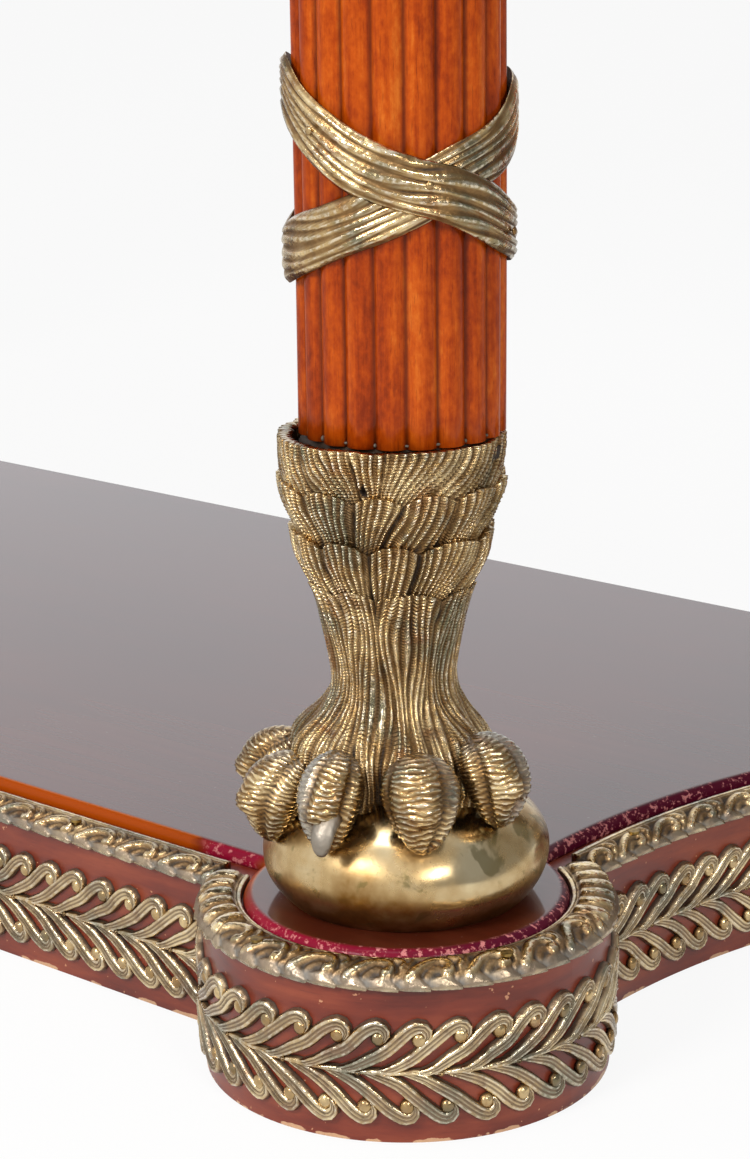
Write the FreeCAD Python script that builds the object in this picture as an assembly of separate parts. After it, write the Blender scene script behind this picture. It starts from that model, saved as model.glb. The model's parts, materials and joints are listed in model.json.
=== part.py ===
import FreeCAD, Part
import math
import os
from FreeCAD import Vector

# Pier table on four paw-footed columns, in millimetres, +Z up.
# The origin is on the floor, under the middle of the top slab. The front faces -Y, the back is flat.
# A low plinth and an apron share one outline: a straight front, two hollow sides and a drum at
# each corner. The legs stand on the drums: bun, paw with cuff, reeded column, capital.

# Plan outline, shared by the plinth and the apron
DRUM_R = 75.0            # corner drums
FRONT_DRUM_X = 475.0     # front drum centres, either side of the middle
REAR_DRUM_OUT = 70.0     # rear drums stand this much further out than the front ones
DRUM_SPAN_Y = 303.0      # front drum centre to rear drum centre; the rear drums touch the back plane
FRONT_FACE_OUT = 30.0    # straight front, ahead of the front drum centres
SIDE_FACE_OUT = 37.5     # hollow side, outside the front drum centre where it starts
SIDE_STRAIGHT = 79.0     # the side runs straight back this far before it curves outward
SIDE_ARC_R = 330.0       # radius of the hollow side
SIDE_ARC_REST = 45.0     # the hollow side ends this far ahead of the rear drum centre, inside the drum

# Heights
PLINTH_H = 60.0
FIELD_T = 5.0            # raised panel on the plinth
COLUMN_BASE_Z = 237.5
APRON_H = 92.0
SLAB_T = 22.0
TABLE_H = 900.0

# Carcass joinery
RAIL_T = 22.0
BOARD_T = 18.0           # board under the raised panel
CROSS_RAIL_T = 20.0
CROSS_RAIL_X = 160.0
GLUE_BLOCK = (44.0, 16.0, 26.0)
GLUE_BLOCK_PITCH = 150.0
DOWEL_R = 5.0
DOWEL_L = 60.0
JOINT_GAP = 0.15         # glue line of the curved joints and the boards
FIT_GAP = 0.1            # rods, pins and dowels in their holes

# Raised panel
FIELD_INSET = 17.7       # its edge, inside the plinth's face
FIELD_DRUM_INSET = 15.0  # its disc on each drum, inside the drum
FIELD_STEP = 1.5         # its eased top edge, modelled as a step

# Gilt bronze edge moulding: an L section that caps the corner of the carcass
MOULD_OUT = 3.0
MOULD_IN = 9.75
MOULD_H = 5.0
MOULD_LIP = 2.0          # hangs down over the face
MOULD_STEP = 1.5

# Gilt bronze leaf band
LEAF_T = 2.5
LEAF_LOW = 9.0           # lower tips above the carcass's foot
LEAF_TALL = 37.5
LEAF_PITCH = 14.5
LEAF_NOTCH = 9.0         # depth of the gaps between the leaf tips
LEAF_NOTCH_W = 5.0

# Bun foot
BUN_R = 52.3
BUN_HALF_H = 30.0
BUN_DROP = 17.0          # widest level above its flat foot
BUN_TOP_R = 14.0

# Paw casting
PAW_SHIFT = 5.0          # its axis stands ahead of the column's, the way the paw points
PAW_TURN = 15.0          # the paws point this much outward of straight ahead
SHIN_PROFILE = (         # how far below the cuff's rim, and the radius there
    (0.0, 40.8), (7.0, 41.2), (13.0, 39.8), (19.0, 39.6), (26.0, 37.0), (34.0, 36.6),
    (51.0, 29.5), (64.0, 28.2), (79.0, 24.4), (87.0, 23.0), (95.0, 23.6), (103.0, 27.0),
    (110.0, 34.0), (118.0, 38.0), (130.0, 40.0),
)
TOE_ANGLES = (-78.0, -39.0, 0.0, 39.0, 78.0)
TOE_REACH = 44.0
TOE_MID_Z = 108.0
TOE_HALF_W = 12.5
TOE_HALF_H = 18.0
KNUCKLE_REACH = 33.0
KNUCKLE_Z = 122.0
KNUCKLE_R = 13.0
CLAW_R = 4.5
CLAW_L = 17.0
CLAW_LEAN = 25.0
CUFF_RIM_DROP = 1.5      # the cuff's rim, below the column's foot
CUFF_SEAT_R = 34.0       # flat seat inside the cuff that carries the column
CUFF_GROOVE_R = 38.4     # groove between the seat and the rim
CUFF_GROOVE_DEPTH = 3.0

# Reeded column
REED_COUNT = 20
REED_CROWN_R = 36.6
REED_GROOVE_R = 34.4
CAPITAL_PROFILE = (      # above the column's head, and how far it stands out from the reeds
    (0.0, 1.9), (3.0, 4.4), (6.0, 1.9), (10.0, 0.4), (17.0, 4.4), (21.0, 10.4), (24.0, 11.4), (28.0, 11.4),
)

# Crossed ribbon mounts
RIBBON_W = 20.0
RIBBON_T = 2.2
RIBBON_TILT = 31.0       # degrees
RIBBON_RISE = 88.0       # crossing above the column's foot, and below its head
RIBBON_TURN = -40.0      # the way the crossing faces, degrees from +X on the right-hand legs

# Tie rods through the legs
ROD_R = 5.0
ROD_HOLE_R = 5.6
NUT_AF = 17.0
NUT_H = 8.0
WASHER_R = 12.0
WASHER_T = 2.0
POCKET_R = 13.5
POCKET_DEPTH = 16.0
ROD_STANDS_OUT = 2.0     # past each nut

# Pins that hold the edge moulding
PIN_R = 1.1
PIN_L = 13.0
PIN_HEAD_R = 2.2
PIN_HEAD_H = 1.0
PIN_FRONT_PITCH = 220.0
PIN_SIDE_ANGLES = (3.0, 22.0)        # along the hollow side's arc, degrees
PIN_DRUM_SPREAD = 38.0               # either side of the middle of each drum's bare face
DRUM_FACING = {"front": -60.0, "rear": -10.0}

# Marble top
SLAB_OUT = 14.0          # beyond the apron's outline
SLAB_STEP = 4.0
SLAB_EDGE_H = 5.0

# Worked out from the sizes above
BACK_DEPTH = DRUM_SPAN_Y + DRUM_R
BACK_Y = (BACK_DEPTH + DRUM_R + SLAB_OUT) / 2
FRONT_DRUM_Y = BACK_Y - BACK_DEPTH
REAR_DRUM_X = FRONT_DRUM_X + REAR_DRUM_OUT
REAR_DRUM_Y = BACK_Y - DRUM_R
FRONT_Y = FRONT_DRUM_Y - FRONT_FACE_OUT
SIDE_X = FRONT_DRUM_X + SIDE_FACE_OUT
ARC_X = SIDE_X + SIDE_ARC_R
ARC_Y = FRONT_DRUM_Y + SIDE_STRAIGHT
FIELD_TOP = PLINTH_H + FIELD_T
APRON_TOP = TABLE_H - SLAB_T
APRON_Z = APRON_TOP - APRON_H
COLUMN_TOP = APRON_Z - CAPITAL_PROFILE[-1][0]
BUN_MID_Z = FIELD_TOP + BUN_DROP
LARGE = 2000.0

CORNERS = {
    "front_left": (-FRONT_DRUM_X, FRONT_DRUM_Y),
    "front_right": (FRONT_DRUM_X, FRONT_DRUM_Y),
    "rear_left": (-REAR_DRUM_X, REAR_DRUM_Y),
    "rear_right": (REAR_DRUM_X, REAR_DRUM_Y),
}


def save(shape, node):
    shape.exportStep("parts/" + node + ".step")


def cylinder(x, y, z, radius, height):
    return Part.makeCylinder(radius, height, Vector(x, y, z))


def box(x_low, x_high, y_low, y_high, z_low, z_high):
    size = (x_high - x_low, y_high - y_low, z_high - z_low)
    return Part.makeBox(*size, Vector(x_low, y_low, z_low))


def drums(radius, z_low, z_high):
    return [cylinder(x, y, z_low, radius, z_high - z_low) for x, y in CORNERS.values()]


def mirror_x(shape):
    return shape.mirror(Vector(0, 0, 0), Vector(1, 0, 0))


def main_prism(out, z_low, z_high):
    """The outline without its drums, pushed outward by out; its back stays on the back plane."""
    radius = SIDE_ARC_R - out
    end = math.asin((DRUM_SPAN_Y - SIDE_STRAIGHT - SIDE_ARC_REST) / SIDE_ARC_R)

    def on_arc(angle, side):
        x = ARC_X - radius * math.cos(angle)
        return Vector(side * x, ARC_Y + radius * math.sin(angle), z_low)

    def side_edges(side):
        corner = Vector(side * (SIDE_X + out), FRONT_Y - out, z_low)
        arc = Part.Arc(on_arc(0, side), on_arc(end / 2, side), on_arc(end, side))
        in_drum = Vector(side * REAR_DRUM_X, REAR_DRUM_Y, z_low)
        at_back = Vector(side * REAR_DRUM_X, BACK_Y, z_low)
        return [
            Part.makeLine(corner, on_arc(0, side)),
            arc.toShape(),
            Part.makeLine(on_arc(end, side), in_drum),
            Part.makeLine(in_drum, at_back),
        ]

    front_right = Vector(SIDE_X + out, FRONT_Y - out, z_low)
    front_left = Vector(-SIDE_X - out, FRONT_Y - out, z_low)
    back_right = Vector(REAR_DRUM_X, BACK_Y, z_low)
    back_left = Vector(-REAR_DRUM_X, BACK_Y, z_low)
    edges = side_edges(1) + side_edges(-1)
    edges.append(Part.makeLine(front_left, front_right))
    edges.append(Part.makeLine(back_right, back_left))
    wire = Part.Wire(Part.__sortEdges__(edges))
    return Part.Face(wire).extrude(Vector(0, 0, z_high - z_low))


def plan_prism(out, z_low, z_high, drum_out=None):
    """The whole outline, drums included, cut off at the back plane."""
    if drum_out is None:
        drum_out = out
    body = main_prism(out, z_low, z_high).multiFuse(drums(DRUM_R + drum_out, z_low, z_high))
    room = box(-LARGE, LARGE, -LARGE, BACK_Y, z_low, z_high)
    return body.common(room).removeSplitter()


def rear_joint_angle():
    """Where the middle line of the hollow side rail meets the rear drum, on the side's arc."""
    radius = SIDE_ARC_R + RAIL_T / 2
    low, high = 0.0, math.pi / 3
    for _ in range(50):
        middle = (low + high) / 2
        x = ARC_X - radius * math.cos(middle)
        y = ARC_Y + radius * math.sin(middle)
        if math.hypot(x - REAR_DRUM_X, y - REAR_DRUM_Y) > DRUM_R:
            low = middle
        else:
            high = middle
    return low


def dowel_axes():
    """Middle and direction of the dowel at each rail end on the right-hand half of the frame."""
    front_drop = FRONT_FACE_OUT - RAIL_T / 2
    front_x = FRONT_DRUM_X - math.sqrt(DRUM_R ** 2 - front_drop ** 2)
    back_drop = DRUM_R - RAIL_T / 2
    back_x = REAR_DRUM_X - math.sqrt(DRUM_R ** 2 - back_drop ** 2)
    side_off = SIDE_FACE_OUT - RAIL_T / 2
    side_y = FRONT_DRUM_Y + math.sqrt(DRUM_R ** 2 - side_off ** 2)
    angle = rear_joint_angle()
    radius = SIDE_ARC_R + RAIL_T / 2
    rear = Vector(ARC_X - radius * math.cos(angle), ARC_Y + radius * math.sin(angle), 0)
    return [
        (Vector(front_x, FRONT_Y + RAIL_T / 2, 0), Vector(1, 0, 0)),
        (Vector(back_x, BACK_Y - RAIL_T / 2, 0), Vector(1, 0, 0)),
        (Vector(SIDE_X - RAIL_T / 2, side_y, 0), Vector(0, 1, 0)),
        (rear, Vector(math.sin(angle), math.cos(angle), 0)),
    ]


def dowels(z, radius, length):
    rods = []
    for middle, direction in dowel_axes():
        foot = middle - direction * (length / 2) + Vector(0, 0, z)
        rod = Part.makeCylinder(radius, length, foot, direction)
        rods += [rod, mirror_x(rod)]
    return rods


def carcass(name, z_low, z_high, pocket_z):
    """Rails, drum blocks and dowels of the plinth or the apron. Returns the parts by node name."""
    middle_z = (z_low + z_high) / 2
    holes = dowels(middle_z, DOWEL_R + FIT_GAP, DOWEL_L + 2)
    drum_room = drums(DRUM_R + JOINT_GAP, z_low, z_high)
    front = box(-FRONT_DRUM_X, FRONT_DRUM_X, FRONT_Y, FRONT_Y + RAIL_T, z_low, z_high)
    back = box(-REAR_DRUM_X, REAR_DRUM_X, BACK_Y - RAIL_T, BACK_Y, z_low, z_high)
    strip = main_prism(0, z_low, z_high).cut(main_prism(-RAIL_T, z_low, z_high))
    beside = box(FRONT_DRUM_X, LARGE, FRONT_DRUM_Y, REAR_DRUM_Y, z_low, z_high)
    side = strip.common(beside).cut(drum_room)
    side = max(side.Solids, key=lambda solid: solid.Volume)
    parts = {
        name + "_front_rail": front.cut(drum_room + holes),
        name + "_back_rail": back.cut(drum_room + holes),
        name + "_left_rail": mirror_x(side).cut(holes),
        name + "_right_rail": side.cut(holes),
    }
    for corner, (x, y) in CORNERS.items():
        block = cylinder(x, y, z_low, DRUM_R, z_high - z_low)
        bore = cylinder(x, y, z_low, ROD_HOLE_R, z_high - z_low)
        pocket = cylinder(x, y, pocket_z, POCKET_R, POCKET_DEPTH)
        parts[name + "_drum_" + corner] = block.cut([bore, pocket] + holes)
    return parts, dowels(middle_z, DOWEL_R, DOWEL_L)


def inner_board(z_low, z_high):
    """A board that fills the frame of rails, clear of the drums."""
    gap = JOINT_GAP
    board = main_prism(-RAIL_T - gap, z_low, z_high)
    room = box(-LARGE, LARGE, FRONT_Y + RAIL_T + gap, BACK_Y - RAIL_T - gap, z_low, z_high)
    board = board.common(room).cut(drums(DRUM_R + gap, z_low, z_high))
    return max(board.Solids, key=lambda solid: solid.Volume)


def cross_rails(z_low, z_high):
    """Two rails from front to back inside the frame."""
    y_low = FRONT_Y + RAIL_T
    y_high = BACK_Y - RAIL_T
    half = CROSS_RAIL_T / 2
    rails = []
    for x in (-CROSS_RAIL_X, CROSS_RAIL_X):
        rails.append(box(x - half, x + half, y_low, y_high, z_low, z_high))
    return Part.makeCompound(rails)


def glue_blocks(z_top):
    """Small blocks rubbed into the corner of the long rails and the board above."""
    length, depth, height = GLUE_BLOCK
    blocks = []
    for x in (-2 * GLUE_BLOCK_PITCH, -GLUE_BLOCK_PITCH / 2, GLUE_BLOCK_PITCH / 2, 2 * GLUE_BLOCK_PITCH):
        for y in (FRONT_Y + RAIL_T, BACK_Y - RAIL_T - depth):
            blocks.append(box(x - length / 2, x + length / 2, y, y + depth, z_top - height, z_top))
    return Part.makeCompound(blocks)


def split_band(band, out):
    """Cuts a band round the outline into its front, side and drum lengths."""
    pieces = {}
    z_low = band.BoundBox.ZMin
    z_high = band.BoundBox.ZMax
    rounds = drums(DRUM_R + out, z_low, z_high)
    for corner, (x, y) in CORNERS.items():
        pieces["drum_" + corner] = band.common(cylinder(x, y, z_low, DRUM_R + out, z_high - z_low))
    straight = band.cut(rounds)
    front_room = box(-FRONT_DRUM_X, FRONT_DRUM_X, -LARGE, FRONT_DRUM_Y, z_low, z_high)
    pieces["front"] = straight.common(front_room)
    right_room = box(FRONT_DRUM_X, LARGE, FRONT_DRUM_Y, REAR_DRUM_Y, z_low, z_high)
    pieces["right"] = straight.common(right_room)
    pieces["left"] = mirror_x(pieces["right"])
    return pieces


def edge_moulding(z):
    """L section round the top corner of a carcass whose top is at z."""
    inner = main_prism(-MOULD_IN, z, z + MOULD_H).multiFuse(drums(DRUM_R - MOULD_IN, z, z + MOULD_H))
    cap = plan_prism(MOULD_OUT - MOULD_STEP, z, z + MOULD_H).cut(inner)
    z_lip = z - MOULD_LIP
    z_step = z + MOULD_H - MOULD_STEP
    hung = plan_prism(FIT_GAP, z_lip, z)
    shelf = plan_prism(MOULD_OUT, z_lip, z_step).cut([hung, inner])
    return cap.fuse(shelf).removeSplitter()


def leaf_band(z):
    """Flat band round the face above z, before its edges are notched between the leaf tips."""
    z_low = z + LEAF_LOW
    z_high = z_low + LEAF_TALL
    return plan_prism(LEAF_T, z_low, z_high).cut(plan_prism(FIT_GAP, z_low, z_high))


def notch(x, y, z_low, direction):
    """A pair of gaps above and below the leaf band's stem, cut across the face."""
    half = LEAF_NOTCH_W / 2
    reach = 4 * LEAF_T
    low = box(-half, half, -reach, reach, z_low, z_low + LEAF_NOTCH)
    top = z_low + LEAF_TALL
    high = box(-half, half, -reach, reach, top - LEAF_NOTCH, top)
    both = Part.makeCompound([low, high])
    both.rotate(Vector(0, 0, 0), Vector(0, 0, 1), direction)
    both.translate(Vector(x, y, 0))
    return both


def notched(pieces, z):
    """Cuts the gaps between the leaves, a pitch apart along each length."""
    z_low = z + LEAF_LOW
    cut = {}
    half_count = int((FRONT_DRUM_X - DRUM_R) / LEAF_PITCH)
    front = [notch(i * LEAF_PITCH, FRONT_Y, z_low, 0) for i in range(-half_count, half_count + 1)]
    cut["front"] = pieces["front"].cut(front)
    step = LEAF_PITCH / SIDE_ARC_R
    side = []
    angle = 0.0
    while angle < rear_joint_angle():
        x = ARC_X - SIDE_ARC_R * math.cos(angle)
        y = ARC_Y + SIDE_ARC_R * math.sin(angle)
        side.append(notch(x, y, z_low, 90 - math.degrees(angle)))
        angle += step
    cut["right"] = pieces["right"].cut(side)
    cut["left"] = mirror_x(cut["right"])
    turn = 360.0 / round(2 * math.pi * DRUM_R / LEAF_PITCH)
    for corner, (x, y) in CORNERS.items():
        tools = []
        for i in range(round(360 / turn)):
            a = math.radians(i * turn)
            tools.append(notch(x + DRUM_R * math.cos(a), y + DRUM_R * math.sin(a), z_low, i * turn + 90))
        cut["drum_" + corner] = pieces["drum_" + corner].cut(tools)
    return cut


def revolve_profile(points):
    wire = Part.makePolygon([Vector(r, 0, z) for r, z in points + points[:1]])
    return Part.Face(wire).revolve(Vector(0, 0, 0), Vector(0, 0, 1), 360)


def bun(grow=0.0):
    """Squashed ball with a flat foot and a small flat on top, at the origin in plan."""
    a = BUN_R + grow
    c = BUN_HALF_H + grow
    foot = -math.asin((BUN_DROP + grow) / c) if grow == 0 else -math.pi / 2.01
    top = math.acos(BUN_TOP_R / a) if grow == 0 else math.pi / 2.01
    ellipse = Part.Ellipse(Vector(a, 0, BUN_MID_Z), Vector(0, 0, BUN_MID_Z + c), Vector(0, 0, BUN_MID_Z))
    skin = Part.ArcOfEllipse(ellipse, foot, top).toShape()
    ends = [vertex.Point for vertex in skin.Vertexes]
    low, high = sorted(ends, key=lambda point: point.z)
    on_axis_low = Vector(0, 0, low.z)
    on_axis_high = Vector(0, 0, high.z)
    lines = [
        Part.makeLine(high, on_axis_high),
        Part.makeLine(on_axis_high, on_axis_low),
        Part.makeLine(on_axis_low, low),
    ]
    wire = Part.Wire(Part.__sortEdges__([skin] + lines))
    return Part.Face(wire).revolve(Vector(0, 0, 0), Vector(0, 0, 1), 360)


def spheroid(half_w, half_h):
    """Upright ellipsoid of revolution at the origin."""
    if half_w > half_h:
        ellipse = Part.Ellipse(Vector(half_w, 0, 0), Vector(0, 0, half_h), Vector(0, 0, 0))
        arc = Part.ArcOfEllipse(ellipse, -math.pi / 2, math.pi / 2).toShape()
    else:
        ellipse = Part.Ellipse(Vector(0, 0, half_h), Vector(half_w, 0, 0), Vector(0, 0, 0))
        arc = Part.ArcOfEllipse(ellipse, 0, math.pi).toShape()
    axis = Part.makeLine(Vector(0, 0, -half_h), Vector(0, 0, half_h))
    wire = Part.Wire(Part.__sortEdges__([arc, axis]))
    return Part.Face(wire).revolve(Vector(0, 0, 0), Vector(0, 0, 1), 360)


def paw():
    """Paw casting that points along -Y: shin and fur cuff, knuckles, toes and claws, on the bun."""
    rim = COLUMN_BASE_Z - CUFF_RIM_DROP
    groove = rim - CUFF_GROOVE_DEPTH
    shin = [
        (0.0, COLUMN_BASE_Z), (CUFF_SEAT_R, COLUMN_BASE_Z), (CUFF_SEAT_R, groove), (CUFF_GROOVE_R, groove),
    ]
    shin += [(radius, rim - drop) for drop, radius in SHIN_PROFILE]
    shin.append((0.0, rim - SHIN_PROFILE[-1][0]))
    body = revolve_profile(shin)
    extras = []
    for turn in TOE_ANGLES:
        toe = spheroid(TOE_HALF_W, TOE_HALF_H)
        toe.translate(Vector(0, -TOE_REACH, TOE_MID_Z))
        knuckle = Part.makeSphere(KNUCKLE_R, Vector(0, -KNUCKLE_REACH, KNUCKLE_Z))
        claw = Part.makeCone(CLAW_R, CLAW_R / 4, CLAW_L)
        claw.rotate(Vector(0, 0, 0), Vector(1, 0, 0), 180 - CLAW_LEAN)
        claw.translate(Vector(0, -TOE_REACH - TOE_HALF_W / 3, TOE_MID_Z - TOE_HALF_H / 3))
        for piece in (toe, knuckle, claw):
            piece.rotate(Vector(0, 0, 0), Vector(0, 0, 1), turn)
            extras.append(piece)
    body = body.multiFuse(extras)
    body.translate(Vector(0, -PAW_SHIFT, 0))
    return body


def seat_paw(shape):
    """Cuts the bun and the rod hole out of a paw set on its leg's axis."""
    bore = cylinder(0, 0, 0, ROD_HOLE_R, LARGE)
    return shape.cut([bore, bun(JOINT_GAP)])


def reed_section():
    step = 2 * math.pi / REED_COUNT

    def at(radius, angle):
        return Vector(radius * math.cos(angle), radius * math.sin(angle), 0)

    arcs = []
    for i in range(REED_COUNT):
        angle = i * step
        start = at(REED_GROOVE_R, angle - step / 2)
        end = at(REED_GROOVE_R, angle + step / 2)
        arcs.append(Part.Arc(start, at(REED_CROWN_R, angle), end).toShape())
    return Part.Face(Part.Wire(arcs))


def column():
    length = COLUMN_TOP - COLUMN_BASE_Z
    shaft = reed_section().extrude(Vector(0, 0, length))
    shaft.translate(Vector(0, 0, COLUMN_BASE_Z))
    return shaft.cut(cylinder(0, 0, COLUMN_BASE_Z, ROD_HOLE_R, length))


def tilted_ring(inner_r, tilt):
    """A ribbon bent round the column in a plane tipped by tilt about the X axis."""
    outer_r = inner_r + RIBBON_T
    tall = 4 * RIBBON_W
    shell = cylinder(0, 0, -tall, outer_r, 2 * tall).cut(cylinder(0, 0, -tall, inner_r, 2 * tall))
    half = RIBBON_W / 2 * math.cos(math.radians(tilt))
    slab = box(-LARGE, LARGE, -LARGE, LARGE, -half, half)
    slab.rotate(Vector(0, 0, 0), Vector(1, 0, 0), tilt)
    return shell.common(slab)


def ribbons(turn):
    """Two pairs of crossed ribbons, near the foot and the head of a column."""
    under = tilted_ring(REED_CROWN_R + FIT_GAP, RIBBON_TILT)
    over = tilted_ring(REED_CROWN_R + RIBBON_T + 2 * FIT_GAP, -RIBBON_TILT)
    rings = []
    for z in (COLUMN_BASE_Z + RIBBON_RISE, COLUMN_TOP - RIBBON_RISE):
        for ring in (under, over):
            copy = ring.copy()
            copy.rotate(Vector(0, 0, 0), Vector(0, 0, 1), turn)
            copy.translate(Vector(0, 0, z))
            rings.append(copy)
    return Part.makeCompound(rings)


def capital():
    points = [(ROD_HOLE_R, COLUMN_TOP)]
    points += [(REED_CROWN_R + proud, COLUMN_TOP + rise) for rise, proud in CAPITAL_PROFILE]
    points.append((ROD_HOLE_R, APRON_Z))
    return revolve_profile(points)


def hex_prism(x, y, z, across_flats, height):
    radius = across_flats / math.sqrt(3)
    corners = []
    for i in range(7):
        a = math.pi / 3 * i
        corners.append(Vector(x + radius * math.cos(a), y + radius * math.sin(a), z))
    return Part.Face(Part.makePolygon(corners)).extrude(Vector(0, 0, height))


def hardware():
    """Tie rods, nuts and washers: a pocket under each plinth drum and on top of each apron drum."""
    low_seat = POCKET_DEPTH
    high_seat = APRON_TOP - POCKET_DEPTH
    rod_low = low_seat - WASHER_T - NUT_H - ROD_STANDS_OUT
    rod_high = high_seat + WASHER_T + NUT_H + ROD_STANDS_OUT
    rods, nuts, washers = [], [], []
    for x, y in CORNERS.values():
        rods.append(cylinder(x, y, rod_low, ROD_R, rod_high - rod_low))
        hole = cylinder(x, y, 0, ROD_R + FIT_GAP, TABLE_H)
        for z in (low_seat - WASHER_T, high_seat):
            washers.append(cylinder(x, y, z, WASHER_R, WASHER_T).cut(hole))
        for z in (low_seat - WASHER_T - NUT_H, high_seat + WASHER_T):
            nuts.append(hex_prism(x, y, z, NUT_AF, NUT_H).cut(hole))
    return rods, nuts, washers


def pin_places():
    """Pins through the edge moulding: along the front, the sides and round the drums."""
    middle = (MOULD_OUT - MOULD_IN) / 2
    places = []
    for step in (-1.5, -0.5, 0.5, 1.5):
        places.append((step * PIN_FRONT_PITCH, FRONT_Y - middle))
    for degrees in PIN_SIDE_ANGLES:
        a = math.radians(degrees)
        radius = SIDE_ARC_R - middle
        x = ARC_X - radius * math.cos(a)
        y = ARC_Y + radius * math.sin(a)
        places += [(x, y), (-x, y)]
    for corner, (x, y) in CORNERS.items():
        side = 1 if x > 0 else -1
        facing = DRUM_FACING[corner.split("_")[0]]
        for spread in (-PIN_DRUM_SPREAD, PIN_DRUM_SPREAD):
            a = math.radians(facing + spread)
            radius = DRUM_R + middle
            places.append((x + side * radius * math.cos(a), y + radius * math.sin(a)))
    return places


def pins(z_head, grow):
    out = []
    for x, y in pin_places():
        shank = cylinder(x, y, z_head - PIN_L, PIN_R + grow, PIN_L)
        head = cylinder(x, y, z_head, PIN_HEAD_R, PIN_HEAD_H)
        out.append(shank if grow else shank.fuse(head).removeSplitter())
    return out


def marble_slab():
    low = plan_prism(SLAB_OUT - SLAB_STEP, APRON_TOP, APRON_TOP + SLAB_EDGE_H)
    middle = plan_prism(SLAB_OUT, APRON_TOP + SLAB_EDGE_H, TABLE_H - SLAB_EDGE_H)
    high = plan_prism(SLAB_OUT - SLAB_STEP, TABLE_H - SLAB_EDGE_H, TABLE_H)
    return low.multiFuse([middle, high]).removeSplitter()


def raised_field():
    z_step = FIELD_TOP - FIELD_STEP
    field = plan_prism(-FIELD_INSET, PLINTH_H, z_step, -FIELD_DRUM_INSET)
    eased = plan_prism(-FIELD_INSET - FIELD_STEP, z_step, FIELD_TOP, -FIELD_DRUM_INSET - FIELD_STEP)
    field = field.fuse(eased).removeSplitter()
    holes = [cylinder(x, y, PLINTH_H, ROD_HOLE_R, FIELD_T) for x, y in CORNERS.values()]
    return field.cut(holes)


def build():
    os.makedirs("parts", exist_ok=True)
    pin_holes = pins(FIELD_TOP, FIT_GAP)
    plinth, plinth_dowels = carcass("plinth", 0.0, PLINTH_H, 0.0)
    apron, apron_dowels = carcass("apron", APRON_Z, APRON_TOP, APRON_TOP - POCKET_DEPTH)
    for node, shape in plinth.items():
        save(shape.cut(pin_holes), node)
    for node, shape in apron.items():
        if "drum" not in node:
            save(shape, node)
    save(Part.makeCompound([apron["apron_drum_" + corner] for corner in CORNERS]), "apron_drums")
    save(Part.makeCompound(plinth_dowels + apron_dowels), "rail_dowels")
    board_z = PLINTH_H - BOARD_T
    save(inner_board(board_z, PLINTH_H), "plinth_top_board")
    save(cross_rails(0.0, board_z), "plinth_cross_rails")
    save(glue_blocks(board_z), "plinth_glue_blocks")
    save(raised_field(), "plinth_raised_panel")
    save(cross_rails(APRON_Z, APRON_TOP), "apron_cross_rails")

    for length, shape in split_band(edge_moulding(PLINTH_H), MOULD_OUT).items():
        save(shape.cut(pin_holes), "plinth_moulding_" + length)
    for length, shape in notched(split_band(leaf_band(0.0), LEAF_T), 0.0).items():
        save(shape, "plinth_leaf_band_" + length)
    apron_leaf_z = APRON_Z + (APRON_H - LEAF_TALL) / 2 - LEAF_LOW
    apron_bands = notched(split_band(leaf_band(apron_leaf_z), LEAF_T), apron_leaf_z)
    save(Part.makeCompound(list(apron_bands.values())), "apron_leaf_bands")
    save(Part.makeCompound(pins(FIELD_TOP, 0.0)), "moulding_pins")

    leg_bun = bun()
    leg_bun = leg_bun.cut(cylinder(0, 0, 0, ROD_HOLE_R, LARGE))
    leg_paw = paw()
    leg_column = column()
    leg_capital = capital()
    for corner, (x, y) in CORNERS.items():
        side = 1 if x > 0 else -1
        place = Vector(x, y, 0)
        turned = leg_paw.copy()
        turned.rotate(Vector(0, 0, 0), Vector(0, 0, 1), side * PAW_TURN)
        seated = seat_paw(turned)
        for node, shape in (
            ("bun_foot_", leg_bun),
            ("paw_", seated),
            ("column_", leg_column),
            ("ribbons_", ribbons(side * RIBBON_TURN)),
            ("capital_", leg_capital),
        ):
            copy = shape.copy()
            copy.translate(place)
            save(copy, node + corner)

    rods, nuts, washers = hardware()
    save(Part.makeCompound(rods), "tie_rods")
    save(Part.makeCompound(nuts), "tie_rod_nuts")
    save(Part.makeCompound(washers), "tie_rod_washers")
    save(marble_slab(), "marble_top")


build()
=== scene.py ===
import bpy
import bmesh
import json
import math
import numpy as np
from functools import partial
from mathutils import Matrix, Vector


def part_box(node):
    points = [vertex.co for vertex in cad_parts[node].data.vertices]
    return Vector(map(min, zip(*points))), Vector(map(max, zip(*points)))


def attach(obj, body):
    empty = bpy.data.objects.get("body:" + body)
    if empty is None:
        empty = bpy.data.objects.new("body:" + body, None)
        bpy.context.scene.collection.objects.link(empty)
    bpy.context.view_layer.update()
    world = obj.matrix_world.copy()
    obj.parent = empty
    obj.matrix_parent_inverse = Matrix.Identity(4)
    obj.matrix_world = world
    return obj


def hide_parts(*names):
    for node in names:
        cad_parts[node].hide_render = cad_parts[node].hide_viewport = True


# Pier table. Everything is in metres in the CAD frame, and sizes are written as a number times mm.
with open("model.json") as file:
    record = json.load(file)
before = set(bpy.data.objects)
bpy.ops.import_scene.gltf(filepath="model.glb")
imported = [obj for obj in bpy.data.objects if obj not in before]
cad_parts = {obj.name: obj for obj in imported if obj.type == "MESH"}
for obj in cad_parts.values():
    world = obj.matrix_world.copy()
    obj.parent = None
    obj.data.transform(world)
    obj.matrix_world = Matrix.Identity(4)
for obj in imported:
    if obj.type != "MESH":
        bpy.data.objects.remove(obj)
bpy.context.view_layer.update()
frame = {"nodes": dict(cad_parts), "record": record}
mm = 0.001
corners = ("front_left", "front_right", "rear_left", "rear_right")
print("frame loaded:", len(frame["nodes"]), "nodes")


def centreOf(node):
    low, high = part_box(node)
    return (low + high) / 2


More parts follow.
